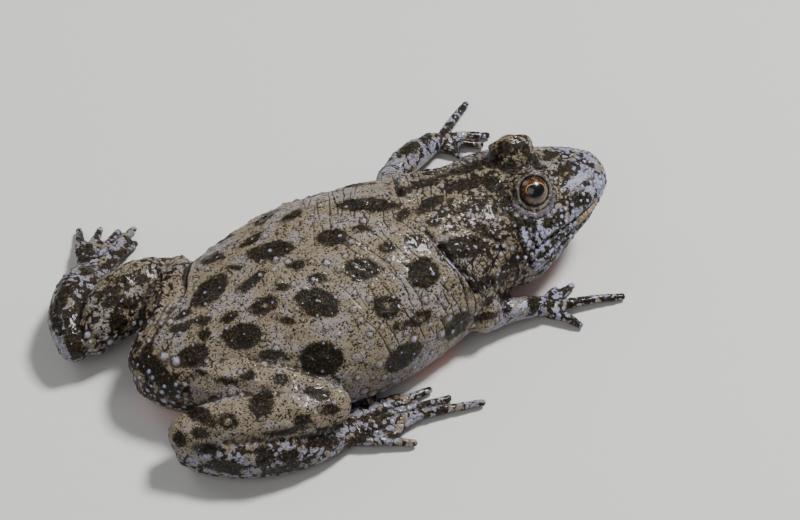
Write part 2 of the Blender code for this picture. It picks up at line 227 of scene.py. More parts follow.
@dataclass(frozen=True)
class Ridge:
    """A raised line along a feature such as an eye or the mouth, or a groove where its height is negative.

    It runs where the distance from the feature equals at, and all three are in millimetres.
    """

    height: float
    at: float
    width: float

    def lift(self, distance: np.ndarray) -> np.ndarray:
        """How far it lifts points at these distances from the feature."""
        return self.height * hill(distance - self.at, self.width)


@dataclass(frozen=True)
class Blotch:
    """A dark blotch: its place, half length and half width in millimetres, and its turn from +X in degrees.

    hole is the share of its reach that stays pale in the middle, and through is its reach along the skin's
    normal, as a share of its half length.
    """

    x: float
    y: float
    z: float
    half_length: float
    half_width: float
    turn: float = 0.0
    hole: float = 0.0
    through: float = 1.6

    def depth(self, surface: Surface) -> np.ndarray:
        """How far inside the blotch points lie.

        Args:
            surface: The skin.

        Returns:
            Each point's depth in millimetres, negative outside the blotch.
        """
        nearest = surface.nearest((self.x, self.y, self.z))
        normal = surface.normals[nearest]
        angle = math.radians(self.turn)
        along = np.array((math.cos(angle), math.sin(angle), 0.0))
        along -= normal * (along @ normal)
        along /= np.linalg.norm(along)
        across = np.cross(normal, along)
        offset = surface.points - surface.points[nearest]
        reach = np.sqrt(
            (offset @ along / self.half_length) ** 2
            + (offset @ across / self.half_width) ** 2
            + (offset @ normal / (self.through * self.half_length)) ** 2
        )
        depth = (1 - reach) * self.half_width
        if self.hole:
            depth = np.minimum(depth, (reach - self.hole) * self.half_width)
        return depth


@dataclass(frozen=True)
class Fold:
    """A crease in the skin: the places that it runs through, its depth, its half width and its painted
    shade.

    The skin beside it swells into two banks, whose height is a share of its depth, and whose distance from
    it and the width of its dark line of painted shade are shares of its half width. Its ends run out over a
    length in millimetres.
    """

    places: tuple[Place, ...]
    depth: float = 0.07
    width: float = 0.1
    painted_shade: float = 0.8
    bank_height: float = 0.35
    bank_place: float = 2.4
    painted_shade_width: float = 0.75
    run_out: float = 0.8

    def mirrored(self, middle: float) -> "Fold":
        """The same crease on the other side of the body's middle plane."""
        return replace(self, places=tuple((x, 2 * middle - y, z) for x, y, z in self.places))

    def press(self, surface: Surface) -> tuple[np.ndarray, np.ndarray]:
        """What the crease does to the skin.

        Args:
            surface: The skin.

        Returns:
            How far each point is pushed out, in millimetres, and how dark its painted shade is there.
        """
        push = np.zeros(len(surface.points))
        dark = np.zeros(len(surface.points))
        path = np.array([surface.points[surface.nearest(place)] for place in smooth_line(self.places, 5)])
        room = 6 * self.width
        low, high = path.min(axis=0) - room, path.max(axis=0) + room
        near = ((surface.points > low) & (surface.points < high)).all(axis=1)
        points = surface.points[near]
        gap = distance_to_line(points, path)
        ends = np.minimum(*(np.linalg.norm(points - path[k], axis=1) for k in (0, -1)))
        strength = fade(ends, 0.0, self.run_out)
        banks = self.bank_height * hill(gap - self.bank_place * self.width, self.width)
        push[near] = self.depth * strength * (banks - hill(gap, self.width))
        # painted shade: a dark line along the bottom of the crease
        dark[near] = self.painted_shade * strength * hill(gap, self.painted_shade_width * self.width)
        return push, dark


@dataclass(frozen=True)
class WartKind:
    """How the warts of one part of the skin are: sizes in millimetres, tip as the share that is pale."""

    spacing: float
    reach: tuple[float, float]
    rise: tuple[float, float]
    tip: float
    strength: tuple[float, float]


class Warts(Enum):
    """The kinds of warts, each with its sizes."""

    BACK = WartKind(1.05, (0.2, 0.38), (0.06, 0.15), 0.52, (0.3, 1.0))
    FLANK = WartKind(1.1, (0.24, 0.52), (0.07, 0.18), 0.58, (0.35, 1.0))
    CHEEK = WartKind(0.5, (0.15, 0.26), (0.04, 0.09), 0.75, (0.1, 1.0))
    HEAD = WartKind(0.62, (0.15, 0.26), (0.04, 0.09), 0.5, (0.0, 0.6))
    SHOULDER = WartKind(0.7, (0.17, 0.36), (0.05, 0.14), 0.6, (0.1, 0.9))
    REAR = WartKind(0.6, (0.16, 0.42), (0.05, 0.16), 0.7, (0.15, 0.95))
    LEG = WartKind(1.0, (0.16, 0.32), (0.05, 0.12), 0.5, (0.1, 0.85))
    FOOT = WartKind(0.7, (0.14, 0.26), (0.03, 0.07), 0.5, (0.0, 0.5))


@dataclass(frozen=True)
class Wart:
    """One wart: its place, and its sizes as its kind says."""

    place: Vector
    reach: float
    rise: float
    tip: float
    strength: float
    spacing: float


class Side(Enum):
    """The animal's own right and left."""

    RIGHT = "right"
    LEFT = "left"


class Graph:
    """Adds the nodes of one material or node group and joins them."""

    def __init__(self, tree: bpy.types.NodeTree) -> None:
        """Work on the node tree of a material or of a group."""
        self.tree = tree

    def node(self, kind: str, inputs: dict | None = None, **settings: object) -> bpy.types.Node:
        """Add a node.

        Args:
            kind: The name of the node's type.
            inputs: Values or output sockets for the node's inputs, by name or number.
            **settings: The node's own options.

        Returns:
            The new node.
        """
        made = self.tree.nodes.new(kind)
        for name, value in settings.items():
            setattr(made, name, value)
        for key, value in (inputs or {}).items():
            self.feed(made.inputs[key], value)
        return made

    def feed(self, socket: Socket, value: object) -> None:
        """Give an input what it takes.

        Args:
            socket: The node's input.
            value: An output socket to link to it, or its own value.
        """
        if isinstance(value, Socket):
            self.tree.links.new(value, socket)
        elif socket.type == "RGBA" and len(value) == 3:
            socket.default_value = (*value, 1.0)
        else:
            socket.default_value = value

    def calc(self, operation: str, *values: object, clamp: bool = False) -> Socket:
        """The result of one Math node on the values."""
        inputs = dict(enumerate(values))
        return self.node("ShaderNodeMath", inputs, operation=operation, use_clamp=clamp).outputs[0]

    def plus(self, first: object, second: object) -> Socket:
        """The sum of two values."""
        return self.calc("ADD", first, second)

    def minus(self, first: object, second: object) -> Socket:
        """The first value less the second."""
        return self.calc("SUBTRACT", first, second)

    def times(self, *values: object) -> Socket:
        """Multiply values.

        Args:
            *values: Two or more values or sockets.

        Returns:
            Their product.
        """
        first, *others = values
        for value in others:
            first = self.calc("MULTIPLY", first, value)
        return first

    def scaled(self, value: object, factor: object, start: object) -> Socket:
        """The value times the factor, plus a start."""
        return self.calc("MULTIPLY_ADD", value, factor, start)

    def step(self, value: object, low: float, high: float) -> Socket:
        """A soft step.

        Args:
            value: What it depends on.
            low: Where it is still 0.
            high: Where it is 1, which may be below low.

        Returns:
            The step, between 0 and 1.
        """
        if low > high:
            return self.minus(1.0, self.step(value, high, low))
        inputs = {"Value": value, "From Min": low, "From Max": high}
        return self.node("ShaderNodeMapRange", inputs, interpolation_type="SMOOTHSTEP").outputs[0]

    def mix(self, share: object, first: object, second: object) -> Socket:
        """A colour between two colours.

        Args:
            share: How much of the second colour there is.
            first: The first colour.
            second: The second colour.

        Returns:
            The mixed colour.
        """
        made = self.node("ShaderNodeMix", data_type="RGBA")
        factor, colours = made.inputs[0], [s for s in made.inputs if s.type == "RGBA"]
        self.feed(factor, share)
        self.feed(colours[0], first)
        self.feed(colours[1], second)
        return next(s for s in made.outputs if s.type == "RGBA")

    def noise(self, vector: object, scale: float, detail: float = 2.0) -> Socket:
        """Soft noise between about 0.2 and 0.8; scale is in patches for each millimetre."""
        inputs = {"Vector": vector, "Scale": scale / MM, "Detail": detail, "Roughness": NOISE_ROUGHNESS}
        return self.node("ShaderNodeTexNoise", inputs).outputs["Fac"]

    def cells(self, vector: object, scale: float) -> Socket:
        """The distance from the middle of each cell; scale is in cells for each millimetre."""
        inputs = {"Vector": vector, "Scale": scale / MM}
        return self.node("ShaderNodeTexVoronoi", inputs, feature="F1").outputs["Distance"]

    def attribute(self, name: str, output: str = "Fac") -> Socket:
        """A value that the mesh stores for each point."""
        return self.node("ShaderNodeAttribute", attribute_name=name).outputs[output]


@dataclass(frozen=True)
class Patches:
    """Soft-edged patches, as both the skin and the iris have them.

    scale is in patches for each millimetre, low and high are the noise where a patch begins and where it is
    full, and detail is the noise's own.
    """

    scale: float
    low: float
    high: float
    detail: float = 2.0

    GROUP = "patches"

    @classmethod
    def make_group(cls) -> None:
        """Make the node group, with the inputs Vector, Scale, Detail, Low and High and the output Mask."""
        tree = bpy.data.node_groups.new(cls.GROUP, "ShaderNodeTree")
        tree.interface.new_socket("Vector", in_out="INPUT", socket_type="NodeSocketVector")
        for name in ("Scale", "Detail", "Low", "High"):
            tree.interface.new_socket(name, in_out="INPUT", socket_type="NodeSocketFloat")
        tree.interface.new_socket("Mask", in_out="OUTPUT", socket_type="NodeSocketFloat")
        graph = Graph(tree)
        given = graph.node("NodeGroupInput").outputs
        inputs = {name: given[name] for name in ("Vector", "Scale", "Detail")}
        soft = graph.node("ShaderNodeTexNoise", {**inputs, "Roughness": NOISE_ROUGHNESS}).outputs["Fac"]
        edges = {"Value": soft, "From Min": given["Low"], "From Max": given["High"]}
        mask = graph.node("ShaderNodeMapRange", edges, interpolation_type="SMOOTHSTEP").outputs[0]
        graph.node("NodeGroupOutput", {"Mask": mask})

    def mask(self, graph: Graph, vector: Socket) -> Socket:
        """Place the group in a material.

        Args:
            graph: The material's nodes.
            vector: The place on the piece.

        Returns:
            1 inside the patches and 0 between them.
        """
        inputs = {
            "Vector": vector,
            "Scale": self.scale / MM,
            "Detail": self.detail,
            "Low": self.low,
            "High": self.high,
        }
        group = bpy.data.node_groups[self.GROUP]
        return graph.node("ShaderNodeGroup", inputs, node_tree=group).outputs["Mask"]


@dataclass(frozen=True)
class SkinFinish:
    """The skin's colours as linear red, green and blue, its patterns and its gloss.

    grains, granules, beads, bends, nets, belly_edges and white_dots are in patches for each millimetre.
    """

    taupe: Colour = (0.235, 0.19, 0.13)
    taupe_cool: Colour = (0.27, 0.235, 0.215)
    # speckle also paints the shade along the wrinkles
    speckle: Colour = (0.018, 0.01, 0.003)
    lilac: Colour = (0.27, 0.265, 0.33)
    # dusk also paints the shade in the groove round each eye
    dusk: Colour = (0.009, 0.005, 0.0015)
    bluish: Colour = (0.27, 0.285, 0.385)
    # pale: the skin's pale lilac, on the snout partly painted highlight
    pale: Colour = (0.40, 0.42, 0.54)
    # blotch also paints the shade in the creases, nostrils, hollows and along the mouth
    blotch: Colour = (0.004, 0.0022, 0.0006)
    blotch_olive: Colour = (0.06, 0.037, 0.008)
    # wart_tip: the warts' pale tips, partly painted highlight; also the belly's white dots
    wart_tip: Colour = (0.62, 0.66, 0.80)
    wart_side: Colour = (0.28, 0.29, 0.40)
    lid: Colour = (0.17, 0.165, 0.15)
    lower_lid: Colour = (0.17, 0.145, 0.21)
    lip: Colour = (0.36, 0.24, 0.10)
    belly: Colour = (0.72, 0.11, 0.01)
    belly_black: Colour = (0.012, 0.012, 0.014)
    palm: Colour = (0.16, 0.12, 0.10)

    grains: float = 5.6
    granules: float = 1.5
    beads: float = 2.1
    bends: float = 0.9
    bend_reach: float = 0.8
    nets: float = 0.7
    belly_edges: float = 1.1
    white_dots: float = 0.9
    greyer: Patches = Patches(0.45, 0.46, 0.62)
    cooler: Patches = Patches(0.9, 0.38, 0.52)
    flames: Patches = Patches(0.22, 0.52, 0.56, 3.0)
    wetter: Patches = Patches(0.9, 0.52, 0.66)

    roughness_dry: float = 0.6
    roughness_wet: float = 0.32
    specular: float = 0.2
    wet: float = 0.16
    wet_tips: float = 0.7
    coat_roughness: float = 0.08
    grain_height: float = 0.13


@dataclass(frozen=True)
class EyeFinish:
    """Colours and sizes of the eye's markings; sizes are shares of the eyeball's radius.

    spokes and rings say how fine the iris is streaked round and outwards. flecks are patches of gold over
    the direction from the eyeball's centre, whose length is 1, so that 6 of them go into the radius.
    """

    copper: Colour = (0.115, 0.031, 0.009)
    brown: Colour = (0.02, 0.006, 0.003)
    # gold: the flecks, and the ring round the pupil, whose brighter upper side is partly painted highlight
    gold: Colour = (0.72, 0.46, 0.16)
    rim: Colour = (0.012, 0.008, 0.006)
    pupil: Colour = (0.004, 0.003, 0.003)
    pupil_reach: float = 0.43
    pupil_corners: float = 0.1
    pupil_breadth: float = 1.15
    pupil_edge: float = 0.012
    ring_width: float = 0.03
    iris_reach: float = 0.84
    iris_edge: float = 0.16
    spokes: float = 6.0
    rings: float = 5.0
    streak_scale: float = 1.6
    flecks: Patches = Patches(6.0 * MM, 0.55, 0.75, 3.0)
    roughness: float = 0.25
    coat_roughness: float = 0.03
    coat_ior: float = 1.38


def new_material(name: str) -> tuple[bpy.types.Material, Graph, bpy.types.Node]:
    """A material with its shader.

    Args:
        name: The material's name.

    Returns:
        The material, the graph of its nodes and its Principled shader.
    """
    material = bpy.data.materials.new(name)
    material.use_nodes = True
    graph = Graph(material.node_tree)
    return material, graph, material.node_tree.nodes["Principled BSDF"]


def apply_modifiers(obj: bpy.types.Object) -> None:
    """Make an object's mesh what its modifiers show, and clear them.

    Args:
        obj: The object, with live modifiers.
    """
    bpy.context.view_layer.update()
    shown = obj.evaluated_get(bpy.context.evaluated_depsgraph_get())
    mesh = bpy.data.meshes.new_from_object(shown)
    old = obj.data
    obj.modifiers.clear()
    obj.data = mesh
    bpy.data.meshes.remove(old)


def new_piece(name: str, bm: bmesh.types.BMesh) -> bpy.types.Object:
    """Put a bmesh in the scene.

    Args:
        name: The name of the object and its mesh.
        bm: The shape, which is freed.

    Returns:
        The object, with a smooth-shaded mesh.
    """
    mesh = bpy.data.meshes.new(name)
    bm.to_mesh(mesh)
    bm.free()
    obj = bpy.data.objects.new(name, mesh)
    bpy.context.scene.collection.objects.link(obj)
    mesh.shade_smooth()
    return obj


@dataclass
class Eye:
    """One eyeball with a raised cornea, and the iris and pupil in its finish.

    cornea_rise is in millimetres, cornea_reach in radians from the line of sight, and behind and beside are
    how far back and how far aside the skin counts as lying round the eye, in millimetres.
    """

    side: Side
    gaze: Place
    finish: EyeFinish = field(default_factory=EyeFinish)
    cornea_rise: float = 0.07
    cornea_reach: float = 0.95
    behind: float = 0.4
    beside: float = 4.0

    @property
    def node(self) -> str:
        """The name of the solid that the eye takes its place from."""
        return "eye_" + self.side.value

    def around(self, points: np.ndarray) -> tuple[np.ndarray, np.ndarray]:
        """Where points lie round the eye.

        Args:
            points: Places in millimetres from the vent.

        Returns:
            Each point's distance from the line of sight, NOT_NEAR where it isn't near the eye, and how far
            it lies towards the lower lid, from -1 to 1.
        """
        gaze = np.array(Vector(self.gaze).normalized())
        down = gaze * gaze[2] - np.array((0.0, 0.0, 1.0))
        down /= np.linalg.norm(down)
        offset = points - on_animal(self.node)
        along = offset @ gaze
        aside = offset - along[:, None] * gaze
        reach = np.linalg.norm(aside, axis=1)
        lower = aside @ down / np.maximum(reach, 0.01)
        away = (along < -self.behind) | (reach > self.beside)
        return np.where(away, NOT_NEAR, reach), lower

    def build(self) -> bpy.types.Object:
        """Model the eyeball and store the direction of each point from its centre.

        Returns:
            The eyeball's object.
        """
        low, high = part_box(self.node)
        centre, radius = (low + high) / 2, (high - low).x / 2
        forward = Vector(self.gaze).normalized()
        right = forward.cross(Vector((0, 0, 1))).normalized()
        up = right.cross(forward)
        bm = bmesh.new()
        bmesh.ops.create_icosphere(bm, subdivisions=6, radius=radius)
        layer = bm.verts.layers.float_vector.new("gaze")
        for vert in bm.verts:
            ray = vert.co.normalized()
            vert[layer] = (ray.dot(right), ray.dot(up), ray.dot(forward))
            off_axis = math.acos(max(-1.0, min(1.0, ray.dot(forward)))) / self.cornea_reach
            rise = max(0.0, 1 - off_axis**2) ** 2 * self.cornea_rise * MM
            vert.co = centre + ray * (radius + rise)
        piece = new_piece("eyeball_" + self.side.value, bm)
        piece.data.materials.append(self.material())
        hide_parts(self.node)
        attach(piece, "root")
        return piece

    def material(self) -> bpy.types.Material:
        """The wet eye: a black pupil with three soft corners, a gold ring whose brighter upper side is
        partly painted highlight, and a copper iris.

        Returns:
            The material, which reads the stored directions.
        """
        finish = self.finish
        material, graph, shader = new_material("eye_" + self.side.value)
        gaze = graph.attribute("gaze", "Vector")
        x, y, z = graph.node("ShaderNodeSeparateXYZ", {0: gaze}).outputs
        angle = graph.calc("ARCTAN2", y, x)
        reach = graph.calc("SQRT", graph.calc("SUBTRACT", 1.0, graph.times(z, z), clamp=True))
        colour = self.iris(graph, gaze, angle, reach)
        wide = graph.times(x, 1 / finish.pupil_breadth)
        near = graph.calc("SQRT", graph.scaled(wide, wide, graph.times(y, y)))
        lobes = graph.calc("COSINE", graph.scaled(angle, 3.0, math.pi / 2 * 3))
        edge = graph.scaled(lobes, finish.pupil_corners * finish.pupil_reach, finish.pupil_reach)
        past_pupil = graph.minus(near, edge)
        ring = graph.step(past_pupil, finish.ring_width * 1.8, finish.ring_width)
        # the gold ring is strongest above the pupil: partly its own gold, partly painted highlight
        above = graph.step(graph.calc("SINE", angle), -0.3, 0.7)
        gilt_and_highlight = graph.times(ring, 0.9, graph.scaled(above, 0.92, 0.08))
        colour = graph.mix(gilt_and_highlight, colour, finish.gold)
        outer = graph.step(reach, finish.iris_reach - finish.iris_edge, finish.iris_reach)
        colour = graph.mix(outer, colour, finish.rim)
        colour = graph.mix(graph.step(past_pupil, finish.pupil_edge, 0.0), colour, finish.pupil)
        back = graph.step(z, 0.05, -0.05)
        graph.feed(shader.inputs["Base Color"], graph.mix(back, colour, finish.rim))
        shader.inputs["Roughness"].default_value = finish.roughness
        shader.inputs["Coat Weight"].default_value = 1.0
        shader.inputs["Coat Roughness"].default_value = finish.coat_roughness
        shader.inputs["Coat IOR"].default_value = finish.coat_ior
        return material

    def iris(self, graph: Graph, gaze: Socket, angle: Socket, reach: Socket) -> Socket:
        """The copper iris with its brown streaks and gold flecks.

        Args:
            graph: The material's nodes.
            gaze: The direction from the eyeball's centre.
            angle: How far round the line of sight it is.
            reach: How far it is from the line of sight, as a share of the radius.

        Returns:
            The iris's colour.
        """
        finish = self.finish
        spokes = graph.node("ShaderNodeCombineXYZ")
        graph.feed(spokes.inputs[0], graph.times(graph.calc("COSINE", angle), finish.spokes))
        graph.feed(spokes.inputs[1], graph.times(graph.calc("SINE", angle), finish.spokes))
        graph.feed(spokes.inputs[2], graph.times(reach, finish.rings))
        inputs = {"Vector": spokes.outputs[0], "Scale": finish.streak_scale, "Detail": 4.0}
        streaks = graph.node("ShaderNodeTexNoise", inputs).outputs["Fac"]
        iris = graph.mix(graph.step(streaks, 0.38, 0.62), finish.brown, finish.copper)
        return graph.mix(graph.times(finish.flecks.mask(graph, gaze), 0.45), iris, finish.gold)


class Solids:
    """The solids under the skin, to look up which of them a place belongs to."""

    def __init__(self, tree: BVHTree, owners: list[str]) -> None:
        """Keep a search tree of all their faces, and the name of the solid that each face belongs to."""
        self.tree = tree
        self.owners = owners

    def owner(self, place: Place) -> str:
        """The name of the solid nearest to a place on the animal."""
        return self.owners[self.tree.find_nearest(to_frame(place))[2]]


@dataclass
class Skin:
    """The toad's skin: the solids' surface sealed, smoothed, sculpted and coloured.

    Lengths are in millimetres, and middle is where the body's middle plane lies. The skin within lid_catch
    of an eyeball comes nearer to it, and within lid_hold it lies at lid_gap from it. The skin over the far
    eye is filled by up to far_lid_fill, out to far_lid_reach from the eye's centre. Folds that start
    further forward than paired_from are on both sides of the body. The wrinkles lean back from the middle
    by wrinkle_slant and lie closer together where wrinkle_pace is larger; wrinkle_sway makes them wander,
    and the larger wrinkle_run is, the shorter they are. Warts keep wart_clearance from the eyes' centres
    and begin wart_lowest above the ground, and the foot of each is at wart_foot times its reach.
    """

    finish: SkinFinish = field(default_factory=SkinFinish)
    weld: float = 0.002
    voxel: float = 0.12
    seal: float = 0.17
    smooth_rounds: int = 8
    triangles: int = 194_000
    seed: int = 11
    middle: float = -0.7

    lid_catch: float = 0.5
    lid_hold: float = 0.2
    lid_gap: float = 0.03
    far_lid_reach: float = 2.12
    far_lid_fill: float = 0.6
    lid_rim: tuple[Ridge, ...] = (Ridge(0.03, 1.5, 0.12), Ridge(-0.07, 1.74, 0.09))
    bag: tuple[Ridge, ...] = (Ridge(0.07, 2.05, 0.16), Ridge(-0.09, 2.4, 0.11))
    face_from: float = 33.0
    upper_lip: Ridge = Ridge(0.1, 0.4, 0.26)
    mouth_groove: Ridge = Ridge(-0.3, 0.0, 0.14)
    jaw: tuple[Ridge, ...] = (Ridge(0.08, -0.42, 0.2), Ridge(-0.1, -0.85, 0.14), Ridge(0.07, -1.3, 0.24))
    nostril: tuple[Ridge, ...] = (Ridge(0.08, 0.42, 0.16), Ridge(-0.35, 0.0, 0.22))

    paired_from: float = 8.0
    grain_rise: float = 0.055
    wrinkle_slant: float = 0.42
    wrinkle_pace: float = 1.15
    wrinkle_sway: float = 0.35
    wrinkle_run: float = 0.16
    wrinkle: Ridge = Ridge(-0.06, 0.0, 0.1)
    wart_clearance: float = 2.3
    wart_lowest: float = 0.5
    wart_foot: float = 1.15
    hidden_side_blotches: int = 46
    hidden_side_tries: int = 2000
    farthest_stored: float = 4.0

    mouth: tuple[Place, ...] = (
        (34.9, -6.35, 7.2),
        (36.2, -5.95, 7.25),
        (38.5, -5.15, 7.05),
        (40.4, -4.35, 6.8),
        (42.3, -3.35, 6.7),
        (44.0, -1.9, 6.8),
        (44.75, 0.2, 6.85),
        (44.3, 2.2, 6.8),
        (42.7, 3.8, 6.7),
        (40.8, 4.75, 6.8),
        (38.7, 5.55, 7.05),
        (36.3, 6.25, 7.25),
        (35.0, 6.55, 7.2),
    )
    nostrils: tuple[Place, ...] = ((41.8, 0.0, 8.7), (41.9, 1.9, 8.5))

    back_blotches: tuple[Blotch, ...] = (
        Blotch(22.2, 1.8, 11.0, 2.6, 1.0, -32),
        Blotch(17.9, -0.5, 11.2, 1.3, 0.95, -26),
        Blotch(12.8, 1.1, 10.6, 2.0, 1.0, -20),
        Blotch(18.5, -4.6, 10.9, 1.4, 1.1, -29),
        Blotch(23.5, -6.5, 9.9, 1.5, 1.3, 9),
        Blotch(6.9, 0.6, 9.0, 1.9, 1.2, 16),
        Blotch(9.9, -0.9, 9.9, 1.5, 0.5, 9),
        Blotch(10.0, -3.5, 9.7, 1.2, 0.8, -7, 0.2),
        Blotch(14.0, -5.7, 10.2, 1.8, 1.25, -44),
        Blotch(19.1, -8.1, 9.4, 1.2, 1.0, -9, 0.3),
        Blotch(7.3, -4.8, 8.5, 1.7, 1.1, -23),
        Blotch(3.2, -3.8, 7.3, 1.3, 0.9, -2),
        Blotch(12.4, -9.3, 7.5, 1.8, 1.5, -29),
        Blotch(19.6, -10.4, 5.1, 1.9, 1.2, 3),
        Blotch(25.3, -9.1, 4.6, 1.7, 1.2, 24),
        Blotch(28.0, -5.0, 9.4, 2.3, 1.0, -7),
        Blotch(24.3, -3.8, 10.8, 0.9, 0.6, -38),
        Blotch(8.5, 4.3, 8.5, 1.4, 0.7, -50),
        Blotch(14.6, 6.2, 9.0, 1.7, 0.7, 34),
        Blotch(16.2, 4.2, 10.3, 1.3, 0.6, 15),
        Blotch(12.1, 3.7, 9.8, 1.1, 0.5, 10),
        Blotch(10.9, 7.0, 7.4, 1.4, 0.8, -85),
        Blotch(23.4, 5.8, 9.2, 1.5, 0.6, -42),
        Blotch(14.0, -1.7, 10.8, 0.8, 0.5, -24),
        Blotch(15.0, -3.7, 10.9, 0.7, 0.4, -22),
        Blotch(8.9, -7.3, 7.8, 1.2, 0.4, -29),
        Blotch(9.7, 1.5, 9.8, 0.7, 0.3, -40),
        Blotch(4.8, -2.9, 8.1, 0.5, 0.5, -78),
        Blotch(5.0, -1.5, 8.4, 0.9, 0.4, -30),
        Blotch(7.1, -2.8, 9.0, 0.8, 0.4, -15),
        Blotch(11.2, -5.7, 9.5, 0.8, 0.3, -49),
        Blotch(12.0, -2.9, 10.4, 0.5, 0.3, -24),
        Blotch(21.8, -9.2, 7.7, 1.2, 0.6, -7, 0.4),
        Blotch(19.9, -9.4, 7.8, 0.7, 0.4, -10, 0.4),
        Blotch(20.6, -0.7, 11.3, 0.7, 0.4, -23),
        Blotch(21.5, -3.5, 11.1, 0.7, 0.5, -17, 0.4),
        Blotch(-0.1, -2.1, 5.9, 1.4, 0.9, -44),
        Blotch(0.6, -4.1, 5.1, 1.2, 0.9, -80),
        Blotch(0.3, -0.8, 6.2, 0.8, 0.6, 29),
        Blotch(3.3, -1.1, 7.8, 1.0, 0.4, -19),
        Blotch(4.0, -0.1, 8.1, 0.7, 0.4, -8),
    )
    head_blotches: tuple[Blotch, ...] = (
        Blotch(24.6, -0.8, 11.1, 0.9, 0.45, 25),
        Blotch(27.3, -0.3, 10.7, 1.7, 0.65, 18),
        Blotch(26.7, -2.3, 10.7, 1.0, 0.4, 10),
        Blotch(26.1, 2.1, 10.8, 0.9, 0.6, 20),
        Blotch(28.7, 2.7, 10.1, 1.9, 0.6, 10),
        Blotch(32.6, 3.2, 9.6, 2.2, 0.7),
        Blotch(30.2, -1.7, 10.1, 2.3, 0.35, 5),
        Blotch(31.8, 1.1, 9.9, 2.1, 0.75, -4),
        Blotch(33.7, 0.0, 9.9, 1.0, 0.75, -70),
        Blotch(31.9, -2.8, 9.5, 0.7, 0.45, 60),
        Blotch(33.8, -2.4, 9.7, 1.6, 0.45, 80),
        Blotch(33.8, -4.2, 8.9, 0.6, 0.5, -9),
        Blotch(34.9, 2.6, 9.8, 1.1, 0.7, -74),
        Blotch(36.1, 2.4, 11.3, 0.8, 0.6, -41),
        Blotch(35.8, 1.0, 10.2, 0.8, 0.4, -32),
        Blotch(37.9, 1.6, 11.0, 0.6, 0.5, -73),
        Blotch(38.1, 1.0, 10.0, 1.5, 0.35, 11),
        Blotch(40.4, 1.4, 9.1, 1.0, 0.4, 20),
        Blotch(38.6, 0.1, 9.6, 0.5, 0.4, 7),
        Blotch(40.6, -0.6, 9.2, 1.4, 0.4, 24),
        Blotch(40.8, -3.5, 7.8, 1.2, 0.6, -18),
        Blotch(37.7, -4.5, 8.2, 0.6, 0.4),
        Blotch(36.5, -4.9, 8.2, 0.7, 0.4, -6),
        Blotch(34.8, -4.5, 8.7, 0.6, 0.4, -9),
        Blotch(32.4, -6.3, 6.8, 1.2, 0.5, 33),
        Blotch(31.1, -6.8, 5.8, 1.2, 0.4, -2),
        Blotch(28.4, -7.2, 6.7, 1.6, 0.5),
        Blotch(30.7, -4.2, 9.2, 0.8, 0.5, -69),
        Blotch(31.4, -5.0, 8.6, 0.5, 0.3, -65),
    )
    hind_blotches: tuple[Blotch, ...] = (
        Blotch(6.4, -10.7, 6.9, 1.3, 1.0, 61),
        Blotch(3.2, -10.8, 6.1, 0.75, 0.6, -31, 0.45),
        Blotch(11.0, -11.7, 6.5, 1.2, 0.6, -33),
        Blotch(11.4, -13.1, 5.6, 0.9, 0.4, -27),
        Blotch(8.9, -13.2, 5.6, 0.7, 0.5, -21),
        Blotch(0.9, -10.2, 5.3, 0.7, 0.4, -50),
        Blotch(1.1, -11.0, 4.2, 1.0, 0.5, -32),
        Blotch(7.5, -13.1, 5.1, 1.5, 0.3, -14),
        Blotch(-0.7, -9.6, 4.6, 0.7, 0.6, 77),
        Blotch(4.8, -7.4, 6.9, 0.8, 0.3, -31),
        Blotch(6.4, -8.0, 7.4, 0.6, 0.4, -10),
        Blotch(8.6, -9.4, 7.1, 0.7, 0.4, -23),
        Blotch(3.1, -5.4, 6.7, 0.5, 0.2, -42),
        Blotch(1.5, -8.4, 5.8, 1.9, 0.7, -65),
        Blotch(4.9, -13.6, 3.8, 0.9, 0.7, 66),
        Blotch(7.0, -14.5, 3.3, 1.0, 0.6, -20),
        Blotch(10.2, -13.9, 3.1, 1.9, 0.5, -20),
        Blotch(1.7, -12.6, 3.1, 1.7, 0.7, -41),
        Blotch(6.5, -14.5, 2.1, 1.8, 0.6, -8),
        Blotch(12.7, -14.0, 1.3, 0.9, 0.4, -1),
        Blotch(16.4, -12.5, 1.4, 1.0, 0.5, -26),
        Blotch(14.1, -13.5, 1.3, 0.8, 0.7, 8),
        Blotch(18.6, -12.1, 1.0, 0.8, 0.3, -5),
        Blotch(16.4, -14.5, 1.0, 0.5, 0.45, -7),
        Blotch(20.4, -12.8, 1.0, 0.5, 0.35, -7),
        Blotch(22.6, -13.2, 0.7, 0.6, 0.35, 10),
        Blotch(13.7, -12.0, 1.6, 0.6, 0.3, -2),
        Blotch(2.3, 6.7, 6.9, 1.5, 0.4, -18),
        Blotch(0.3, 5.2, 6.5, 1.2, 0.5, -40),
        Blotch(-0.5, 4.1, 5.2, 0.8, 0.6, -21),
        Blotch(-1.0, 5.5, 6.3, 0.5, 0.4, -33),
        Blotch(-0.3, 6.6, 6.7, 0.9, 0.4, -13),
        Blotch(-4.0, 8.8, 5.0, 0.8, 0.6, -61),
        Blotch(-2.8, 9.4, 5.1, 1.1, 0.4, 35),
        Blotch(-5.1, 6.9, 4.7, 0.8, 0.6, -86),
        Blotch(-4.2, 5.0, 4.5, 0.7, 0.6, 60),
        Blotch(-4.0, 6.9, 5.1, 0.7, 0.5, 11),
        Blotch(-0.5, 12.0, 3.6, 1.1, 0.7, 58),
        Blotch(1.4, 18.0, 1.1, 0.7, 0.5, 37),
        Blotch(1.1, 16.1, 1.8, 1.0, 0.4, -70),
        Blotch(0.2, 14.7, 2.4, 0.6, 0.5, -8),
        Blotch(3.8, 14.3, 1.8, 0.9, 0.5, -4),
        Blotch(2.7, 13.3, 2.3, 0.6, 0.4, -6),
        Blotch(1.6, 12.7, 2.7, 0.7, 0.3, -5),
        Blotch(5.0, 15.9, 0.9, 0.7, 0.4, 45),
    )
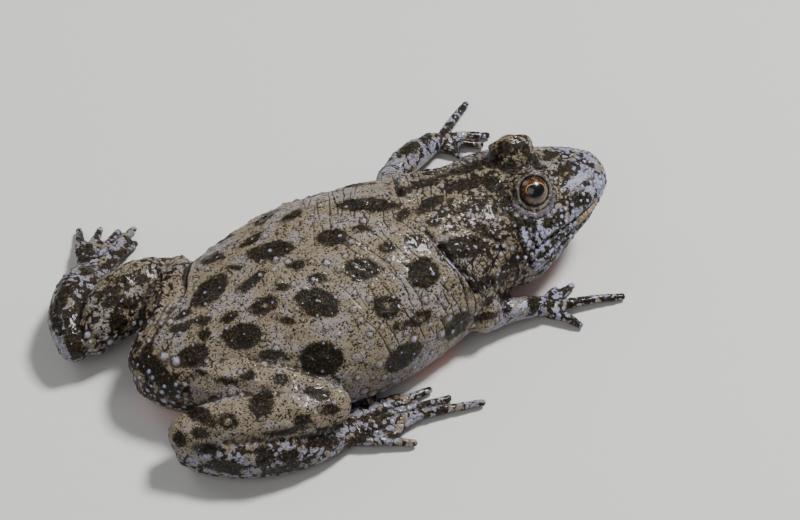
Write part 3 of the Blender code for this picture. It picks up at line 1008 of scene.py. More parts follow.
    fore_blotches: tuple[Blotch, ...] = (
        Blotch(31.0, -8.0, 3.0, 0.7, 0.45, 56),
        Blotch(28.4, -8.7, 3.7, 1.3, 0.4, -27),
        Blotch(29.0, -7.8, 4.7, 0.6, 0.4, -4),
        Blotch(33.7, -8.1, 2.4, 1.1, 0.6, 54),
        Blotch(35.0, -8.4, 1.9, 0.6, 0.3, 4),
        Blotch(37.5, -8.7, 1.3, 0.35, 0.4, -13),
        Blotch(39.0, -9.0, 1.2, 0.3, 0.35, -12),
        Blotch(40.3, -9.4, 1.0, 0.25, 0.3, -3),
        Blotch(36.5, -10.5, 1.0, 0.6, 0.4, -54),
        Blotch(37.7, -6.9, 1.1, 0.5, 0.35, 39),
        Blotch(32.2, 13.3, 3.2, 1.2, 0.8, 60),
        Blotch(34.6, 14.5, 2.5, 1.4, 0.6, 61),
        Blotch(29.9, 13.0, 2.9, 0.6, 0.4, -52),
        Blotch(36.8, 15.1, 1.4, 1.0, 0.4, 64),
        Blotch(39.8, 14.4, 1.0, 0.8, 0.5, 46),
        Blotch(37.0, 13.0, 1.0, 0.6, 0.35, -23),
    )
    # pale lilac patches; the four on the snout are partly painted highlight
    pale_and_highlight_patches: tuple[Blotch, ...] = (
        Blotch(41.3, -1.8, 8.6, 2.0, 0.45, 18),
        Blotch(42.1, -2.7, 7.7, 0.9, 0.35, -25),
        Blotch(43.4, -2.0, 7.7, 0.6, 0.4, -50),
        Blotch(42.8, 1.9, 8.2, 1.6, 0.22, -25),
        Blotch(35.9, -5.2, 8.3, 0.9, 0.4, -60),
        Blotch(34.0, -5.4, 8.3, 1.0, 0.3, 88),
        Blotch(36.6, -6.4, 6.2, 1.2, 0.25, 25),
        Blotch(26.3, -6.4, 9.2, 0.7, 0.22, -75),
        Blotch(33.1, -8.5, 2.9, 0.9, 0.4, -10),
    )

    folds: tuple[Fold, ...] = (
        Fold(
            (
                (25.4, -2.5, 11.0),
                (25.7, -4.0, 10.5),
                (26.2, -5.4, 9.8),
                (26.7, -6.3, 9.0),
                (27.1, -7.0, 8.0),
                (27.7, -7.5, 6.8),
                (28.0, -7.8, 6.0),
            ),
            0.28,
            0.18,
        ),
        Fold(((26.6, -6.2, 9.1), (27.4, -6.9, 8.3), (28.6, -7.2, 6.6), (29.4, -7.2, 5.5)), 0.2, 0.16),
        Fold(((31.7, -5.5, 8.0), (30.5, -6.2, 7.4), (29.7, -6.8, 6.7), (29.8, -7.2, 5.5)), 0.24, 0.18),
        Fold(((34.4, -3.6, 9.3), (34.4, -4.8, 8.5), (34.5, -5.8, 7.6), (35.0, -6.3, 6.6)), 0.14, 0.13),
        Fold(((33.6, -4.1, 9.0), (33.4, -5.4, 8.2), (33.6, -6.4, 6.9), (34.2, -6.8, 5.3)), 0.16, 0.14),
        Fold(((35.0, -6.7, 5.7), (36.3, -6.3, 5.9), (38.1, -5.6, 6.1), (39.8, -4.7, 6.3)), 0.1, 0.11, 0.9),
        Fold(
            (
                (7.1, 6.3, 6.6),
                (6.2, 4.6, 7.3),
                (5.2, 2.6, 7.9),
                (4.1, 1.6, 7.8),
                (2.0, 0.5, 7.1),
                (0.3, -0.4, 6.2),
            ),
            0.3,
            0.22,
        ),
        Fold(
            (
                (4.6, 7.5, 6.6),
                (4.5, 6.4, 6.4),
                (3.5, 4.0, 7.4),
                (2.5, 2.5, 7.5),
                (1.7, 2.2, 6.5),
                (0.9, 1.6, 6.0),
            ),
            0.22,
            0.16,
        ),
        Fold(((3.9, 2.3, 7.6), (2.3, 1.2, 7.2), (1.0, 0.3, 6.6)), 0.1, 0.12),
        Fold(((3.9, 0.7, 7.9), (1.8, 0.0, 7.2), (0.6, -0.6, 6.5)), 0.1, 0.12),
        Fold(((2.9, -1.0, 7.7), (1.8, -1.8, 7.1), (1.0, -2.4, 6.5)), 0.08, 0.1),
    )

    def build(self, eyes: list[Eye]) -> bpy.types.Object:
        """Make the skin in the scene.

        Args:
            eyes: The right and the left eye, which the lids close around.

        Returns:
            The skin's object.
        """
        flesh = sorted(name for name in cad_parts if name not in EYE_NODES)
        piece, solids = self.join_solids(flesh)
        self.seal_gaps(piece)
        surface = Surface(piece.data)
        log.info("skin: %d points before sculpting", len(surface.points))
        self.close_lids(surface)
        self.round_far_lid(surface, eyes[1])
        self.sculpt_lids(surface, eyes)
        self.sculpt_face(surface)
        surface.push(self.press_folds(surface)[0])
        self.sculpt_grain(surface)
        warts = self.place_warts(surface, solids)
        self.raise_warts(surface, warts)
        self.rest_on_floor(surface)
        self.thin_out(piece)
        surface = Surface(piece.data)
        self.rest_on_floor(surface)
        self.store_ground(surface, solids)
        self.store_marks(surface, warts)
        self.store_head(surface, eyes)
        piece.data.shade_smooth()
        piece.data.materials.clear()
        piece.data.materials.append(self.material())
        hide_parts(*flesh)
        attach(piece, "root")
        return piece

    def join_solids(self, flesh: list[str]) -> tuple[bpy.types.Object, Solids]:
        """Copy the solids into one object.

        Args:
            flesh: The names of the solids that the skin covers.

        Returns:
            The object, and the solids to look up where a point of it came from.
        """
        bm = bmesh.new()
        owners: list[str] = []
        for name in flesh:
            copy = bmesh.new()
            copy.from_mesh(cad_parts[name].data)
            bmesh.ops.remove_doubles(copy, verts=copy.verts, dist=self.weld * MM)
            mesh = bpy.data.meshes.new("copy")
            copy.to_mesh(mesh)
            copy.free()
            bm.from_mesh(mesh)
            owners += [name] * (len(bm.faces) - len(owners))
            bpy.data.meshes.remove(mesh)
        solids = Solids(BVHTree.FromBMesh(bm), owners)
        return new_piece("skin", bm), solids

    def seal_gaps(self, piece: bpy.types.Object) -> None:
        """Close the gaps between the solids and smooth the whole into one even skin.

        Args:
            piece: The solids in one object.
        """
        voxel = self.voxel * 1.0
        swell = piece.modifiers.new("Swell", "DISPLACE")
        swell.mid_level = 0
        swell.strength = self.seal * MM
        remesh = piece.modifiers.new("Remesh", "REMESH")
        remesh.mode = "VOXEL"
        remesh.voxel_size = voxel * MM
        smooth = piece.modifiers.new("Smooth", "SMOOTH")
        smooth.factor = 0.5
        smooth.iterations = self.smooth_rounds
        shrink = piece.modifiers.new("Shrink", "DISPLACE")
        shrink.mid_level = 0
        shrink.strength = -self.seal * MM
        apply_modifiers(piece)

    def close_lids(self, surface: Surface) -> None:
        """Bring the edges of the lids onto the eyeballs.

        Args:
            surface: The skin.
        """
        for node in EYE_NODES:
            low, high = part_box(node)
            radius = (high - low).x / 2 / MM
            centre = on_animal(node)
            offset = surface.points - centre
            reach = np.linalg.norm(offset, axis=1)
            near = (reach > 0.2) & (reach < radius + self.lid_catch)
            share = np.clip((reach - radius - self.lid_hold) / (self.lid_catch - self.lid_hold), 0, 1)
            wanted = radius + self.lid_gap + share * (self.lid_catch - self.lid_gap)
            surface.points[near] = centre + offset[near] / reach[near, None] * wanted[near, None]
        surface.settle()

    def round_far_lid(self, surface: Surface, eye: Eye) -> None:
        """Fill the skin over the far eye out to the round dome that the photograph shows from behind.

        Args:
            surface: The skin.
            eye: The far eye.
        """
        offset = surface.points - on_animal(eye.node)
        reach = np.linalg.norm(offset, axis=1)
        across, _ = eye.around(surface.points)
        outward = (surface.normals * offset).sum(axis=1) / reach
        above = fade(offset[:, 2] / reach, -0.1, 0.35)
        past_rim = fade(across, 1.4, 1.75)
        share = above * past_rim * fade(outward, 0.1, 0.5)
        out = np.clip(self.far_lid_reach - reach, 0, self.far_lid_fill) * share
        surface.points += offset / reach[:, None] * out[:, None]
        surface.settle()

    def sculpt_lids(self, surface: Surface, eyes: list[Eye]) -> None:
        """Raise a rim round each eye, with a groove outside it and a soft bag below.

        Args:
            surface: The skin.
            eyes: The eyes.
        """
        push = np.zeros(len(surface.points))
        for eye in eyes:
            across, lower = eye.around(surface.points)
            below = fade(lower, 0.0, 0.5)
            push += sum(ridge.lift(across) for ridge in self.lid_rim)
            push += below * sum(ridge.lift(across) for ridge in self.bag)
        surface.push(push)

    def sculpt_face(self, surface: Surface) -> None:
        """Press in the line of the mouth and the nostrils, and round the lips.

        Args:
            surface: The skin.
        """
        head = surface.points[:, 0] > self.face_from
        points = surface.points[head]
        line = smooth_line(self.mouth, 6)
        gap = distance_to_line(points, line)
        nearest = np.array([line[np.argmin(((line - p) ** 2).sum(axis=1))][2] for p in points])
        above = points[:, 2] - nearest
        lip = self.upper_lip.lift(above) * (gap < 1.2)
        jaw = sum(ridge.lift(above) for ridge in self.jaw) * (gap < 2.0)
        pits = np.zeros(len(points))
        for place in self.nostrils:
            reach = surface.distance_from(place)[head]
            pits += sum(ridge.lift(reach) for ridge in self.nostril)
        push = np.zeros(len(surface.points))
        push[head] = lip + self.mouth_groove.lift(gap) + jaw + pits
        surface.push(push)

    def press_folds(self, surface: Surface) -> tuple[np.ndarray, np.ndarray]:
        """What all the creases do to the skin.

        Args:
            surface: The skin.

        Returns:
            How far each point is pushed out, in millimetres, and how dark its painted shade is there.
        """
        push = np.zeros(len(surface.points))
        dark = np.zeros(len(surface.points))
        for fold in self.folds:
            paired = fold.places[0][0] >= self.paired_from
            for crease in (fold, fold.mirrored(self.middle)) if paired else (fold,):
                out, painted_shade = crease.press(surface)
                push += out
                # painted shade: the darkest crease line at each point
                dark = np.maximum(dark, painted_shade)
        return push, dark

    def sculpt_grain(self, surface: Surface) -> None:
        """Give the whole skin its fine uneven grain, and transverse wrinkles behind the head.

        Args:
            surface: The skin.
        """
        rise = np.empty(len(surface.points))
        for i, point in enumerate(surface.points):
            place = Vector(point)
            rise[i] = 0.5 * noise.noise(place * 1.1) + noise.noise(place * 2.6)
        lines, amount = self.wrinkles(surface)
        surface.push(self.grain_rise * rise + self.wrinkle.lift(lines) * amount)

    def wrinkles(self, surface: Surface) -> tuple[np.ndarray, np.ndarray]:
        """The fine wrinkles across the body, which run where a slanted noise crosses its middle value.

        Args:
            surface: The skin.

        Returns:
            How far each point is from the nearest wrinkle, in millimetres, and how marked it is there.
        """
        ahead = 0.1
        least_slope = 0.2
        value = np.empty((2, len(surface.points)))
        for i, point in enumerate(surface.points):
            place = Vector(point)
            bent = place.x - self.wrinkle_slant * abs(place.y - self.middle)
            sway = self.wrinkle_sway * noise.noise(place * 0.5)
            aside = (place.y * self.wrinkle_run, place.z * self.wrinkle_run)
            for k in (0, 1):
                run = (bent + k * ahead) * self.wrinkle_pace + sway
                value[k, i] = noise.noise(Vector((run, *aside)))
        slope = np.abs(value[1] - value[0]) / ahead
        x, _, z = surface.points.T
        amount = fade(x, 12.0, 21.0) * fade(x, 34.5, 33.0) * fade(z, 3.0, 6.0) * fade(slope, 0.2, 0.5)
        return value[0] / np.maximum(slope, least_slope), amount

    def wart_kind(self, place: Vector, owner: str) -> WartKind:
        """The kind of wart that grows at a place.

        Args:
            place: The place on the animal.
            owner: The name of the solid under it.

        Returns:
            The kind.
        """
        if owner in ("torso", "head"):
            if place.x > 33.5 and place.z < 8.4 or place.x > 42.0:
                return Warts.CHEEK.value
            if place.x > 26.5:
                return Warts.SHOULDER.value if abs(place.y) > 4.0 and place.z < 9.3 else Warts.HEAD.value
            if place.x < 3.0 and place.z < 5.5:
                return Warts.REAR.value
            return Warts.FLANK.value if place.z < 7.0 else Warts.BACK.value
        if owner in ("thigh_right", "thigh_left", "shank_right", "upper_arm_right"):
            return Warts.LEG.value
        if owner == "shank_left":
            return Warts.REAR.value if place.z < 4.5 else Warts.LEG.value
        if owner == "foot_left" and place.y < 12.0 and place.z < 2.2:
            return Warts.REAR.value
        return Warts.FOOT.value

    def place_warts(self, surface: Surface, solids: Solids) -> list[Wart]:
        """Scatter the warts over the skin, none nearer to the next than their kinds allow.

        Args:
            surface: The skin.
            solids: The solids under it, whose names tell which kind grows where.

        Returns:
            The warts.
        """
        draw = random.Random(self.seed)
        order = list(range(len(surface.points)))
        draw.shuffle(order)
        step = max(kind.value.spacing for kind in Warts)
        cells: dict[tuple[int, int, int], list[Wart]] = {}
        warts: list[Wart] = []
        eyes = [(middle_of(node) - VENT) / MM for node in EYE_NODES]
        for i in order[: len(order) // 3]:
            place = Vector(surface.points[i])
            if surface.normals[i][2] < -0.35 or place.z < self.wart_lowest:
                continue
            if any((place - eye).length < self.wart_clearance for eye in eyes):
                continue
            kind = self.wart_kind(place, solids.owner(place))
            key = tuple(int(c // step) for c in place)
            steps = (-1, 0, 1)
            around = [
                other
                for dx, dy, dz in itertools.product(steps, steps, steps)
                for other in cells.get((key[0] + dx, key[1] + dy, key[2] + dz), [])
            ]
            if any((place - w.place).length < max(kind.spacing, 0.7 * w.spacing) for w in around):
                continue
            size = draw.random() ** 1.5
            low, high = kind.strength
            wart = Wart(
                place=place,
                reach=kind.reach[0] + size * (kind.reach[1] - kind.reach[0]),
                rise=kind.rise[0] + size * (kind.rise[1] - kind.rise[0]),
                tip=kind.tip * draw.uniform(0.75, 1.1),
                strength=low + (high - low) * (0.5 * size + 0.5 * draw.random()),
                spacing=kind.spacing,
            )
            cells.setdefault(key, []).append(wart)
            warts.append(wart)
        log.info("skin: %d warts", len(warts))
        return warts

    def nearest_warts(self, surface: Surface, warts: list[Wart]) -> tuple[np.ndarray, np.ndarray]:
        """Find each point's nearest wart.

        Args:
            surface: The skin.
            warts: The warts.

        Returns:
            The number of each point's wart, and the distance to its middle as a share of its reach.
        """
        tree = kdtree.KDTree(len(warts))
        for n, wart in enumerate(warts):
            tree.insert(wart.place, n)
        tree.balance()
        number = np.zeros(len(surface.points), int)
        share = np.zeros(len(surface.points))
        for i, point in enumerate(surface.points):
            _, n, gap = tree.find(point)
            number[i] = n
            share[i] = gap / warts[n].reach
        return number, share

    def raise_warts(self, surface: Surface, warts: list[Wart]) -> None:
        """Raise the warts out of the skin.

        Args:
            surface: The skin.
            warts: The warts.
        """
        number, share = self.nearest_warts(surface, warts)
        rise = np.array([wart.rise for wart in warts])[number]
        surface.push(rise * np.clip(1 - (share / self.wart_foot) ** 2, 0, 1) ** 1.5)

    def rest_on_floor(self, surface: Surface) -> None:
        """Let nothing reach below the ground."""
        surface.points[:, 2] = np.maximum(surface.points[:, 2], 0.0)
        surface.settle()

    def thin_out(self, piece: bpy.types.Object) -> None:
        """Drop the triangles that flat stretches don't need.

        Args:
            piece: The skin's object.
        """
        piece.data.calc_loop_triangles()
        before = len(piece.data.loop_triangles)
        if before > self.triangles:
            thin = piece.modifiers.new("Thin", "DECIMATE")
            thin.ratio = self.triangles / before
            apply_modifiers(piece)
        log.info("skin: %d triangles thinned to at most %d", before, self.triangles)

    def store_ground(self, surface: Surface, solids: Solids) -> None:
        """Store each point's ground: how lilac and how dusky it is, with painted shade as more dusk on the
        undersides of the feet and shanks, and whether it is face, belly or palm. Towards the snout tip the
        face is paler and less dusky, partly as its pale skin and partly as painted highlight.

        Args:
            surface: The skin.
            solids: The solids under it, whose names tell the parts of the body apart.
        """
        normals = surface.normals
        x, y, z = surface.points.T
        owner = np.array([solids.owner(point) for point in surface.points])
        hands = np.isin(owner, ("hand_right", "hand_left"))
        arms = np.isin(owner, ("forearm_right", "upper_arm_left", "forearm_left"))
        near_foot, far_foot = owner == "foot_right", owner == "foot_left"
        trunk = np.isin(owner, ("torso", "head"))
        lilac = 1.0 * (arms | near_foot | far_foot) + 1.6 * hands
        lilac += 0.5 * trunk * fade(z, 6.5, 3.5) * fade(x, 8.0, 11.0) * fade(x, 25.0, 22.0)
        surface.keep("lilac", surface.spread(lilac, 8))

        nape = fade(x, 25.5, 29.5) * (0.5 - 0.28 * fade(z, 9.0, 7.0))
        dusk = trunk * (nape + 0.75 * fade(x, 4.2, 1.8) * fade(z, 6.8, 5.0))
        dusk[owner == "shank_left"] = 0.32
        dusk[owner == "thigh_left"] = 0.25
        dusk[np.isin(owner, ("shank_right", "thigh_right"))] = 0.04
        dusk[arms] = np.where(y[arms] > 5.0, 0.18, 0.13)
        dusk[hands] = 0.08
        toes = fade(x, 12.0, 15.0) * near_foot + fade(y, 10.0, 12.0) * far_foot
        dusk = np.where(near_foot, 0.26 + 0.14 * toes, dusk)
        dusk = np.where(far_foot, 1.7 - 1.2 * toes, dusk)
        # painted shade: the downward-facing undersides of the feet and shanks get more dusk
        underside_shaded_parts = np.isin(owner, ("foot_right", "shank_right", "shank_left"))
        underside_shade = underside_shaded_parts * fade(normals[:, 2], 0.1, -0.3)
        dusk = surface.spread(np.maximum(dusk, 0.9 * underside_shade), 30)
        # face rises to 2 towards the snout tip, making the ground bluer and paler: partly pale skin, partly
        # painted highlight
        face = np.maximum(fade(x, 33.2, 35.0) * fade(z, 8.9, 8.1), 2 * fade(x, 40.6, 42.6))
        surface.keep("face", face)
        surface.keep("beaded", np.clip(dusk * 2 + face, 0, 1))
        # the snout tip is also less dusky: partly its pale skin, partly painted highlight
        snout_pale_and_highlight = fade(x, 41.5, 43.5)
        surface.keep("dusk", np.maximum(dusk, np.minimum(face, 1) * (0.66 - 0.36 * snout_pale_and_highlight)))

        low = fade(z, 1.4, 0.5) * fade(normals[:, 2], -0.15, -0.5)
        under = fade(normals[:, 2], -0.5, -0.75)
        surface.keep("belly", surface.spread(np.maximum(low, under), 3))
        surface.keep("palm", surface.spread((hands | arms | near_foot | far_foot).astype(float), 8))
        lines, amount = self.wrinkles(surface)
        surface.keep("lines", lines)
        surface.keep("wrinkled", amount)

    def store_marks(self, surface: Surface, warts: list[Wart]) -> None:
        """Store the blotches, the warts' pale tips, which are partly painted highlight, and their dark
        rings, and the painted shade of the creases, the nostrils and the hollows.

        Args:
            surface: The skin.
            warts: The warts.
        """
        spot = np.full(len(surface.points), -3.0)
        blotches = self.back_blotches + self.head_blotches + self.hind_blotches + self.fore_blotches
        for blotch in (*blotches, *self.draw_hidden_side(surface, blotches)):
            spot = np.maximum(spot, blotch.depth(surface))
        surface.keep("spot", spot)
        surface.keep("pale", np.max([patch.depth(surface) for patch in self.pale_and_highlight_patches], axis=0))
        number, share = self.nearest_warts(surface, warts)
        tips = np.array([wart.tip for wart in warts])[number]
        surface.keep("wart", np.minimum(share, 3.0))
        surface.keep("tip", np.minimum(share / tips, 3.0))
        surface.keep("strength", np.array([wart.strength for wart in warts])[number])
        # painted shade: dark lines along the creases and dark pits at the nostrils
        dark = self.press_folds(surface)[1]
        for place in self.nostrils:
            dark = np.maximum(dark, hill(surface.distance_from(place), 0.26))
        surface.keep("crease", dark)
        # how deep each point lies in a hollow, which the material darkens as painted shade
        surface.keep("hollow", surface.hollows(6))

    def draw_hidden_side(self, surface: Surface, seen: tuple[Blotch, ...]) -> list[Blotch]:
        """More blotches of the same kind where the photograph doesn't show the back and the left flank.

        Args:
            surface: The skin.
            seen: The blotches that the photograph shows, which these keep clear of.

        Returns:
            The added blotches.
        """
        draw = random.Random(self.seed)
        turned_away = surface.normals @ np.array(TO_CAMERA) < 0.1
        flank = (surface.points[:, 1] > 2.0) & (surface.points[:, 2] > 2.0) & (surface.normals[:, 1] > 0.3)
        places = np.flatnonzero(turned_away & flank)
        made: list[Blotch] = []
        for _ in range(self.hidden_side_tries):
            place = surface.points[places[draw.randrange(len(places))]]
            size = draw.uniform(0.5, 1.5)
            others = (*seen, *made)
            if any(math.dist(place, (b.x, b.y, b.z)) < size + b.half_length + 0.5 for b in others):
                continue
            made.append(Blotch(*place, size, size * draw.uniform(0.45, 0.8), draw.uniform(-40, 40)))
            if len(made) == self.hidden_side_blotches:
                break
        return made

    def store_head(self, surface: Surface, eyes: list[Eye]) -> None:
        """Store how far points are from the eyes and the mouth, and where the lower lids and the lip are.

        Args:
            surface: The skin.
            eyes: The eyes.
        """
        across = np.full(len(surface.points), NOT_NEAR)
        bag = np.zeros(len(surface.points))
        for eye in eyes:
            reach, lower = eye.around(surface.points)
            across = np.minimum(across, reach)
            bag = np.maximum(bag, fade(lower, 0.1, 0.5) * hill(reach - 2.08, 0.2))
        surface.keep("lid", np.minimum(across, self.farthest_stored))
        surface.keep("bag", bag)
        gap = distance_to_line(surface.points, smooth_line(self.mouth, 6))
        surface.keep("mouth", np.minimum(gap, self.farthest_stored))
        x, _, z = surface.points.T
        along = fade(x, 39.6, 40.4) * fade(x, 43.0, 42.2)
        surface.keep("lip", along * fade(z, 6.72, 6.6) * fade(z, 6.15, 6.3))

    def material(self) -> bpy.types.Material:
        """The moist, granular skin with its dark blotches, pale wart tips that are partly painted
        highlight, and painted shade in its creases, wrinkles and hollows.

        Returns:
            The material, which reads what the skin stores for each point.
        """
        finish = self.finish
        material, graph, shader = new_material("skin")
        where = graph.node("ShaderNodeTexCoord").outputs["Object"]
        fine = graph.noise(where, finish.grains, 2.0)
        middle = graph.noise(where, finish.granules, 3.0)
        beads = graph.scaled(graph.cells(self.bent_place(graph, where), finish.beads), -0.85, 0.56)
        colour = self.ground_colour(graph, where, fine, middle, beads)
        colour = self.add_blotches(graph, colour, fine, middle)
        tips, colour = self.add_warts(graph, colour)
        colour = self.add_head(graph, colour, middle)
        colour = self.add_belly(graph, colour, where)
        graph.feed(shader.inputs["Base Color"], colour)

        rough = graph.node("ShaderNodeMapRange", {"Value": finish.wetter.mask(graph, where)})
        graph.feed(rough.inputs["To Min"], finish.roughness_dry)
        graph.feed(rough.inputs["To Max"], finish.roughness_wet)
        graph.feed(shader.inputs["Roughness"], rough.outputs[0])
        graph.feed(shader.inputs["Coat Weight"], graph.scaled(tips, finish.wet_tips, finish.wet))
        shader.inputs["Specular IOR Level"].default_value = finish.specular
        shader.inputs["Coat Roughness"].default_value = finish.coat_roughness
        grains = graph.scaled(fine, 0.7, graph.times(middle, 0.5))
        beaded = graph.times(graph.attribute("beaded"), 0.45)
        height = graph.scaled(graph.step(beads, 0.0, 0.45), beaded, grains)
        relief = {"Strength": 1.0, "Distance": finish.grain_height * MM, "Height": height}
        graph.feed(shader.inputs["Normal"], graph.node("ShaderNodeBump", relief).outputs[0])
        return material

    def bent_place(self, graph: Graph, where: Socket) -> Socket:
        """The place on the skin moved about, so that the beads aren't all of one shape.

        Args:
            graph: The material's nodes.
            where: The place on the skin.

        Returns:
            The moved place.
        """
        finish = self.finish
        inputs = {"Vector": where, "Scale": finish.bends / MM, "Detail": 1.0}
        bend = graph.node("ShaderNodeTexNoise", inputs).outputs["Color"]
        reach = (finish.bend_reach * MM,) * 3
        shift = graph.node("ShaderNodeVectorMath", {0: bend, 1: reach}, operation="MULTIPLY").outputs[0]
        return graph.node("ShaderNodeVectorMath", {0: where, 1: shift}, operation="ADD").outputs[0]

    def ground_colour(
        self, graph: Graph, where: Socket, fine: Socket, middle: Socket, beads: Socket
    ) -> Socket:
        """The speckled ground under all the marks, with dark nets between pale beads where it is dusky,
        pale patches that are partly painted highlight, and painted shade along the wrinkles.

        Args:
            graph: The material's nodes.
            where: The place on the skin.
            fine: Noise of the size of a grain.
            middle: Noise of the size of a wart.
            beads: How far each place is from the dark net between the beads.

        Returns:
            The ground's colour.
        """
        finish = self.finish
        lilac, dusk, face = graph.attribute("lilac"), graph.attribute("dusk"), graph.attribute("face")
        light = graph.step(graph.plus(graph.times(fine, 0.75), graph.times(middle, 0.25)), 0.41, 0.48)
        warm = graph.mix(finish.greyer.mask(graph, where), finish.taupe, finish.taupe_cool)
        cool = finish.cooler.mask(graph, where)
        ground = graph.mix(graph.times(lilac, cool), warm, finish.lilac)
        ground = graph.mix(graph.times(face, cool), ground, finish.bluish)
        specked = graph.calc("MAXIMUM", light, graph.times(graph.plus(lilac, face), 0.45))
        ground = graph.mix(specked, finish.speckle, ground)

        uneven = graph.scaled(graph.noise(where, finish.nets, 2.0), 1.9, -1.5)
        patchy = graph.scaled(middle, 1.5, uneven)
        reach = graph.scaled(fine, 0.16, graph.times(dusk, patchy))
        plain = graph.scaled(graph.step(dusk, 0.2, 0.04), 0.6, 0.08)
        net = graph.minus(graph.minus(reach, plain), beads)
        dark = graph.mix(graph.step(fine, 0.54, 0.64), finish.dusk, finish.blotch_olive)
        ground = graph.mix(graph.step(net, -0.04, 0.04), ground, dark)
        # pale patches: the skin's pale lilac, and on the snout partly painted highlight
        pale_and_highlight_share = graph.scaled(fine, 1.0, graph.minus(graph.attribute("pale"), 0.5))
        ground = graph.mix(graph.times(graph.step(pale_and_highlight_share, 0.0, 0.12), 0.85), ground, finish.pale)

        # painted shade: thin dark lines in the wrinkle grooves
        wrinkle_shade_line = graph.step(graph.calc("ABSOLUTE", graph.attribute("lines")), 0.11, 0.05)
        crease = graph.times(wrinkle_shade_line, graph.attribute("wrinkled"), graph.step(middle, 0.36, 0.46))
        return graph.mix(graph.times(crease, 0.9), ground, finish.speckle)

    def add_blotches(self, graph: Graph, colour: Socket, fine: Socket, middle: Socket) -> Socket:
        """Darken the blotches, and paint shade into the creases, the nostrils and the hollows.

        Args:
            graph: The material's nodes.
            colour: The colour so far.
            fine: Noise of the size of a grain.
            middle: Noise of the size of a wart.

        Returns:
            The darkened colour.
        """
        finish = self.finish
        wander = graph.scaled(middle, 1.1, -0.53)
        ragged = graph.plus(graph.scaled(fine, 1.1, -0.53), wander)
        inside = graph.step(graph.plus(ragged, graph.attribute("spot")), -0.05, 0.05)
        blotch = graph.mix(graph.step(fine, 0.53, 0.64), finish.blotch, finish.blotch_olive)
        colour = graph.mix(inside, colour, blotch)
        # painted shade: creases and nostrils darkened
        colour = graph.mix(graph.attribute("crease"), colour, finish.blotch)
        # painted shade: hollows darkened
        hollow_shade = graph.times(graph.step(graph.attribute("hollow"), 0.01, 0.05), 0.85)
        return graph.mix(hollow_shade, colour, finish.blotch)

    def add_warts(self, graph: Graph, colour: Socket) -> tuple[Socket, Socket]:
        """Colour the warts: a dark ring round each, and a pale tip that is partly their colour and partly
        painted highlight.

        Args:
            graph: The material's nodes.
            colour: The colour so far.

        Returns:
            The mask of the pale tips with their painted highlight, and the colour with the warts.
        """
        strength, wart, tip = graph.attribute("strength"), graph.attribute("wart"), graph.attribute("tip")
        ring = graph.times(graph.step(wart, 0.75, 0.95), graph.step(wart, 1.35, 1.1))
        ring = graph.times(ring, graph.times(strength, 0.75))
        colour = graph.mix(ring, colour, self.finish.speckle)
        some = graph.step(strength, 0.05, 0.7)
        side = graph.times(graph.step(tip, 1.25, 0.8), some)
        colour = graph.mix(side, colour, self.finish.wart_side)
        # pale tip: partly the warts' own pale colour, partly painted highlight
        tip_and_highlight = graph.times(graph.step(tip, 0.85, 0.3), some)
        return tip_and_highlight, graph.mix(tip_and_highlight, colour, self.finish.wart_tip)

    def add_head(self, graph: Graph, colour: Socket, middle: Socket) -> Socket:
        """Colour the lids, the bag under each eye and the lips, and paint shade into the groove round each
        eye and along the line of the mouth.

        Args:
            graph: The material's nodes.
            colour: The colour so far.
            middle: Noise of the size of a wart.

        Returns:
            The colour with them.
        """
        finish = self.finish
        lid = graph.attribute("lid")
        colour = graph.mix(graph.times(graph.step(lid, 1.66, 1.5), 0.6), colour, finish.lid)
        # painted shade: a dark band in the groove round each eye
        lid_groove_shade = graph.times(graph.step(lid, 1.6, 1.7), graph.step(lid, 1.9, 1.78))
        lid_groove_shade = graph.times(lid_groove_shade, graph.step(middle, 0.42, 0.54), 0.65)
        colour = graph.mix(lid_groove_shade, colour, finish.dusk)
        colour = graph.mix(graph.times(graph.attribute("bag"), 0.65), colour, finish.lower_lid)
        colour = graph.mix(graph.times(graph.attribute("lip"), 0.6), colour, finish.lip)
        # painted shade: a dark line along the mouth
        return graph.mix(graph.step(graph.attribute("mouth"), 0.2, 0.07), colour, finish.blotch)

    def add_belly(self, graph: Graph, colour: Socket, where: Socket) -> Socket:
        """Colour the underside: black with flame-red patches and white dots, and dull palms.

        Args:
            graph: The material's nodes.
            colour: The colour so far.
            where: The place on the skin.

        Returns:
            The colour with the underside.
        """
        finish = self.finish
        flames = finish.flames.mask(graph, where)
        under = graph.mix(flames, finish.belly_black, finish.belly)
        white = graph.step(graph.cells(where, finish.white_dots), 0.16, 0.1)
        under = graph.mix(graph.times(white, graph.minus(1.0, flames)), under, finish.wart_tip)
        under = graph.mix(graph.step(graph.attribute("palm"), 0.0, 0.6), under, finish.palm)
        uneven = graph.scaled(graph.noise(where, finish.belly_edges, 3.0), 1.6, -0.8)
        border = graph.plus(graph.attribute("belly"), uneven)
        black = graph.minus(1.0, graph.step(border, 0.75, 0.85))
        under = graph.mix(graph.times(black, 0.9), under, finish.belly_black)
        return graph.mix(graph.step(border, 0.4, 0.5), colour, under)


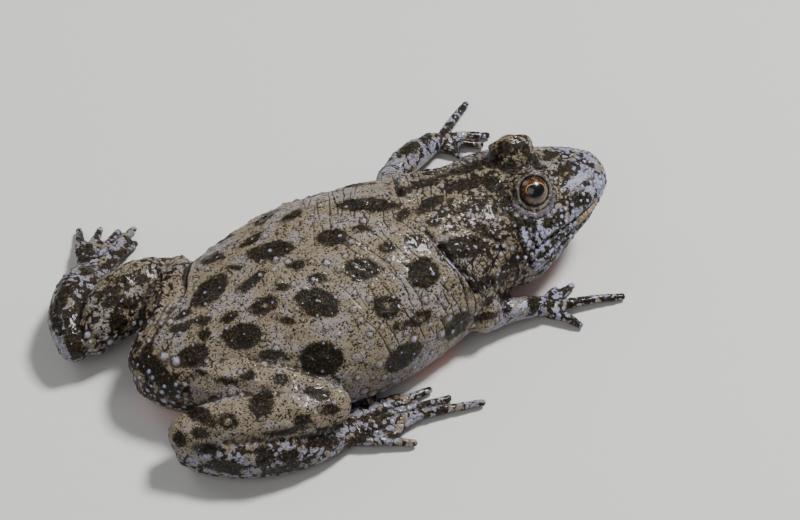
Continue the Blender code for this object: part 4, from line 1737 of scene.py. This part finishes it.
@dataclass
class Studio:
    """The pale floor, the soft lights and the camera at the photograph's angle.

    azimuth and elevation are in degrees, distance, lens, aim and floor_depth in millimetres, and
    floor_width is in metres.
    """

    azimuth: float = -27.0
    elevation: float = 48.0
    distance: float = 202.3
    lens: float = 100.0
    aim: Place = (26.4, 3.65, 0.0)
    floor_width: float = 1.2
    floor_depth: float = 0.02
    floor_colour: Colour = (0.72, 0.71, 0.69)
    sky_colour: Colour = (0.9, 0.95, 1.0)
    sky_strength: float = 0.13

    def build(self) -> None:
        """Make the floor, the lights and the camera."""
        self.make_floor()
        self.make_light("key", (0.31, 0.05, 0.5), 0.12, 4.6)
        self.make_light("fill", (-0.35, -0.3, 0.5), 0.5, 1.1)
        self.make_light("back", (-0.2, 0.4, 0.45), 0.3, 0.5)
        world = bpy.data.worlds.new("studio")
        world.use_nodes = True
        sky = world.node_tree.nodes["Background"]
        sky.inputs[0].default_value = (*self.sky_colour, 1.0)
        sky.inputs[1].default_value = self.sky_strength
        bpy.context.scene.world = world
        self.make_camera()

    def make_floor(self) -> None:
        """A wide pale plane just under the animal."""
        bm = bmesh.new()
        bmesh.ops.create_grid(bm, x_segments=1, y_segments=1, size=self.floor_width / 2)
        bmesh.ops.translate(bm, verts=bm.verts, vec=(0, 0, -self.floor_depth * MM))
        floor = new_piece("floor", bm)
        material, _, shader = new_material("floor")
        shader.inputs["Base Color"].default_value = (*self.floor_colour, 1.0)
        shader.inputs["Roughness"].default_value = 0.6
        floor.data.materials.append(material)

    def make_light(self, name: str, place: Place, size: float, power: float) -> None:
        """A square soft light that faces the animal.

        Args:
            name: The light's name.
            place: Where it hangs, in metres in the frame.
            size: The length of its side, in metres.
            power: Its power in watts.
        """
        data = bpy.data.lights.new(name, "AREA")
        data.shape = "SQUARE"
        data.size = size
        data.energy = power
        light = bpy.data.objects.new(name, data)
        light.location = place
        light.rotation_mode = "QUATERNION"
        light.rotation_quaternion = (-Vector(place)).to_track_quat("-Z", "Y")
        bpy.context.scene.collection.objects.link(light)

    def make_camera(self) -> None:
        """The camera of the photograph."""
        azimuth, elevation = math.radians(self.azimuth), math.radians(self.elevation)
        back = Vector(
            (
                math.sin(azimuth) * math.cos(elevation),
                -math.cos(azimuth) * math.cos(elevation),
                math.sin(elevation),
            )
        )
        data = bpy.data.cameras.new("camera")
        data.lens = self.lens
        data.sensor_width = 36.0
        data.clip_start, data.clip_end = 0.01, 10.0
        camera = bpy.data.objects.new("camera", data)
        camera.location = to_frame(self.aim) + back * self.distance * MM
        camera.rotation_mode = "QUATERNION"
        camera.rotation_quaternion = (-back).to_track_quat("-Z", "Y")
        bpy.context.scene.collection.objects.link(camera)
        bpy.context.scene.camera = camera


def main() -> None:
    """Dress the toad and set up the studio."""
    logging.basicConfig(level=logging.INFO, format="%(name)s: %(message)s")
    Patches.make_group()
    eyes = [Eye(Side.RIGHT, (-0.1, -0.69, 0.72)), Eye(Side.LEFT, (0.15, 0.87, 0.47))]
    for eye in eyes:
        log.info("%s: %d points", eye.node, len(eye.build().data.vertices))
    skin = Skin().build(eyes)
    log.info("skin: %d points", len(skin.data.vertices))
    Studio().build()


if __name__ == "__main__":
    main()
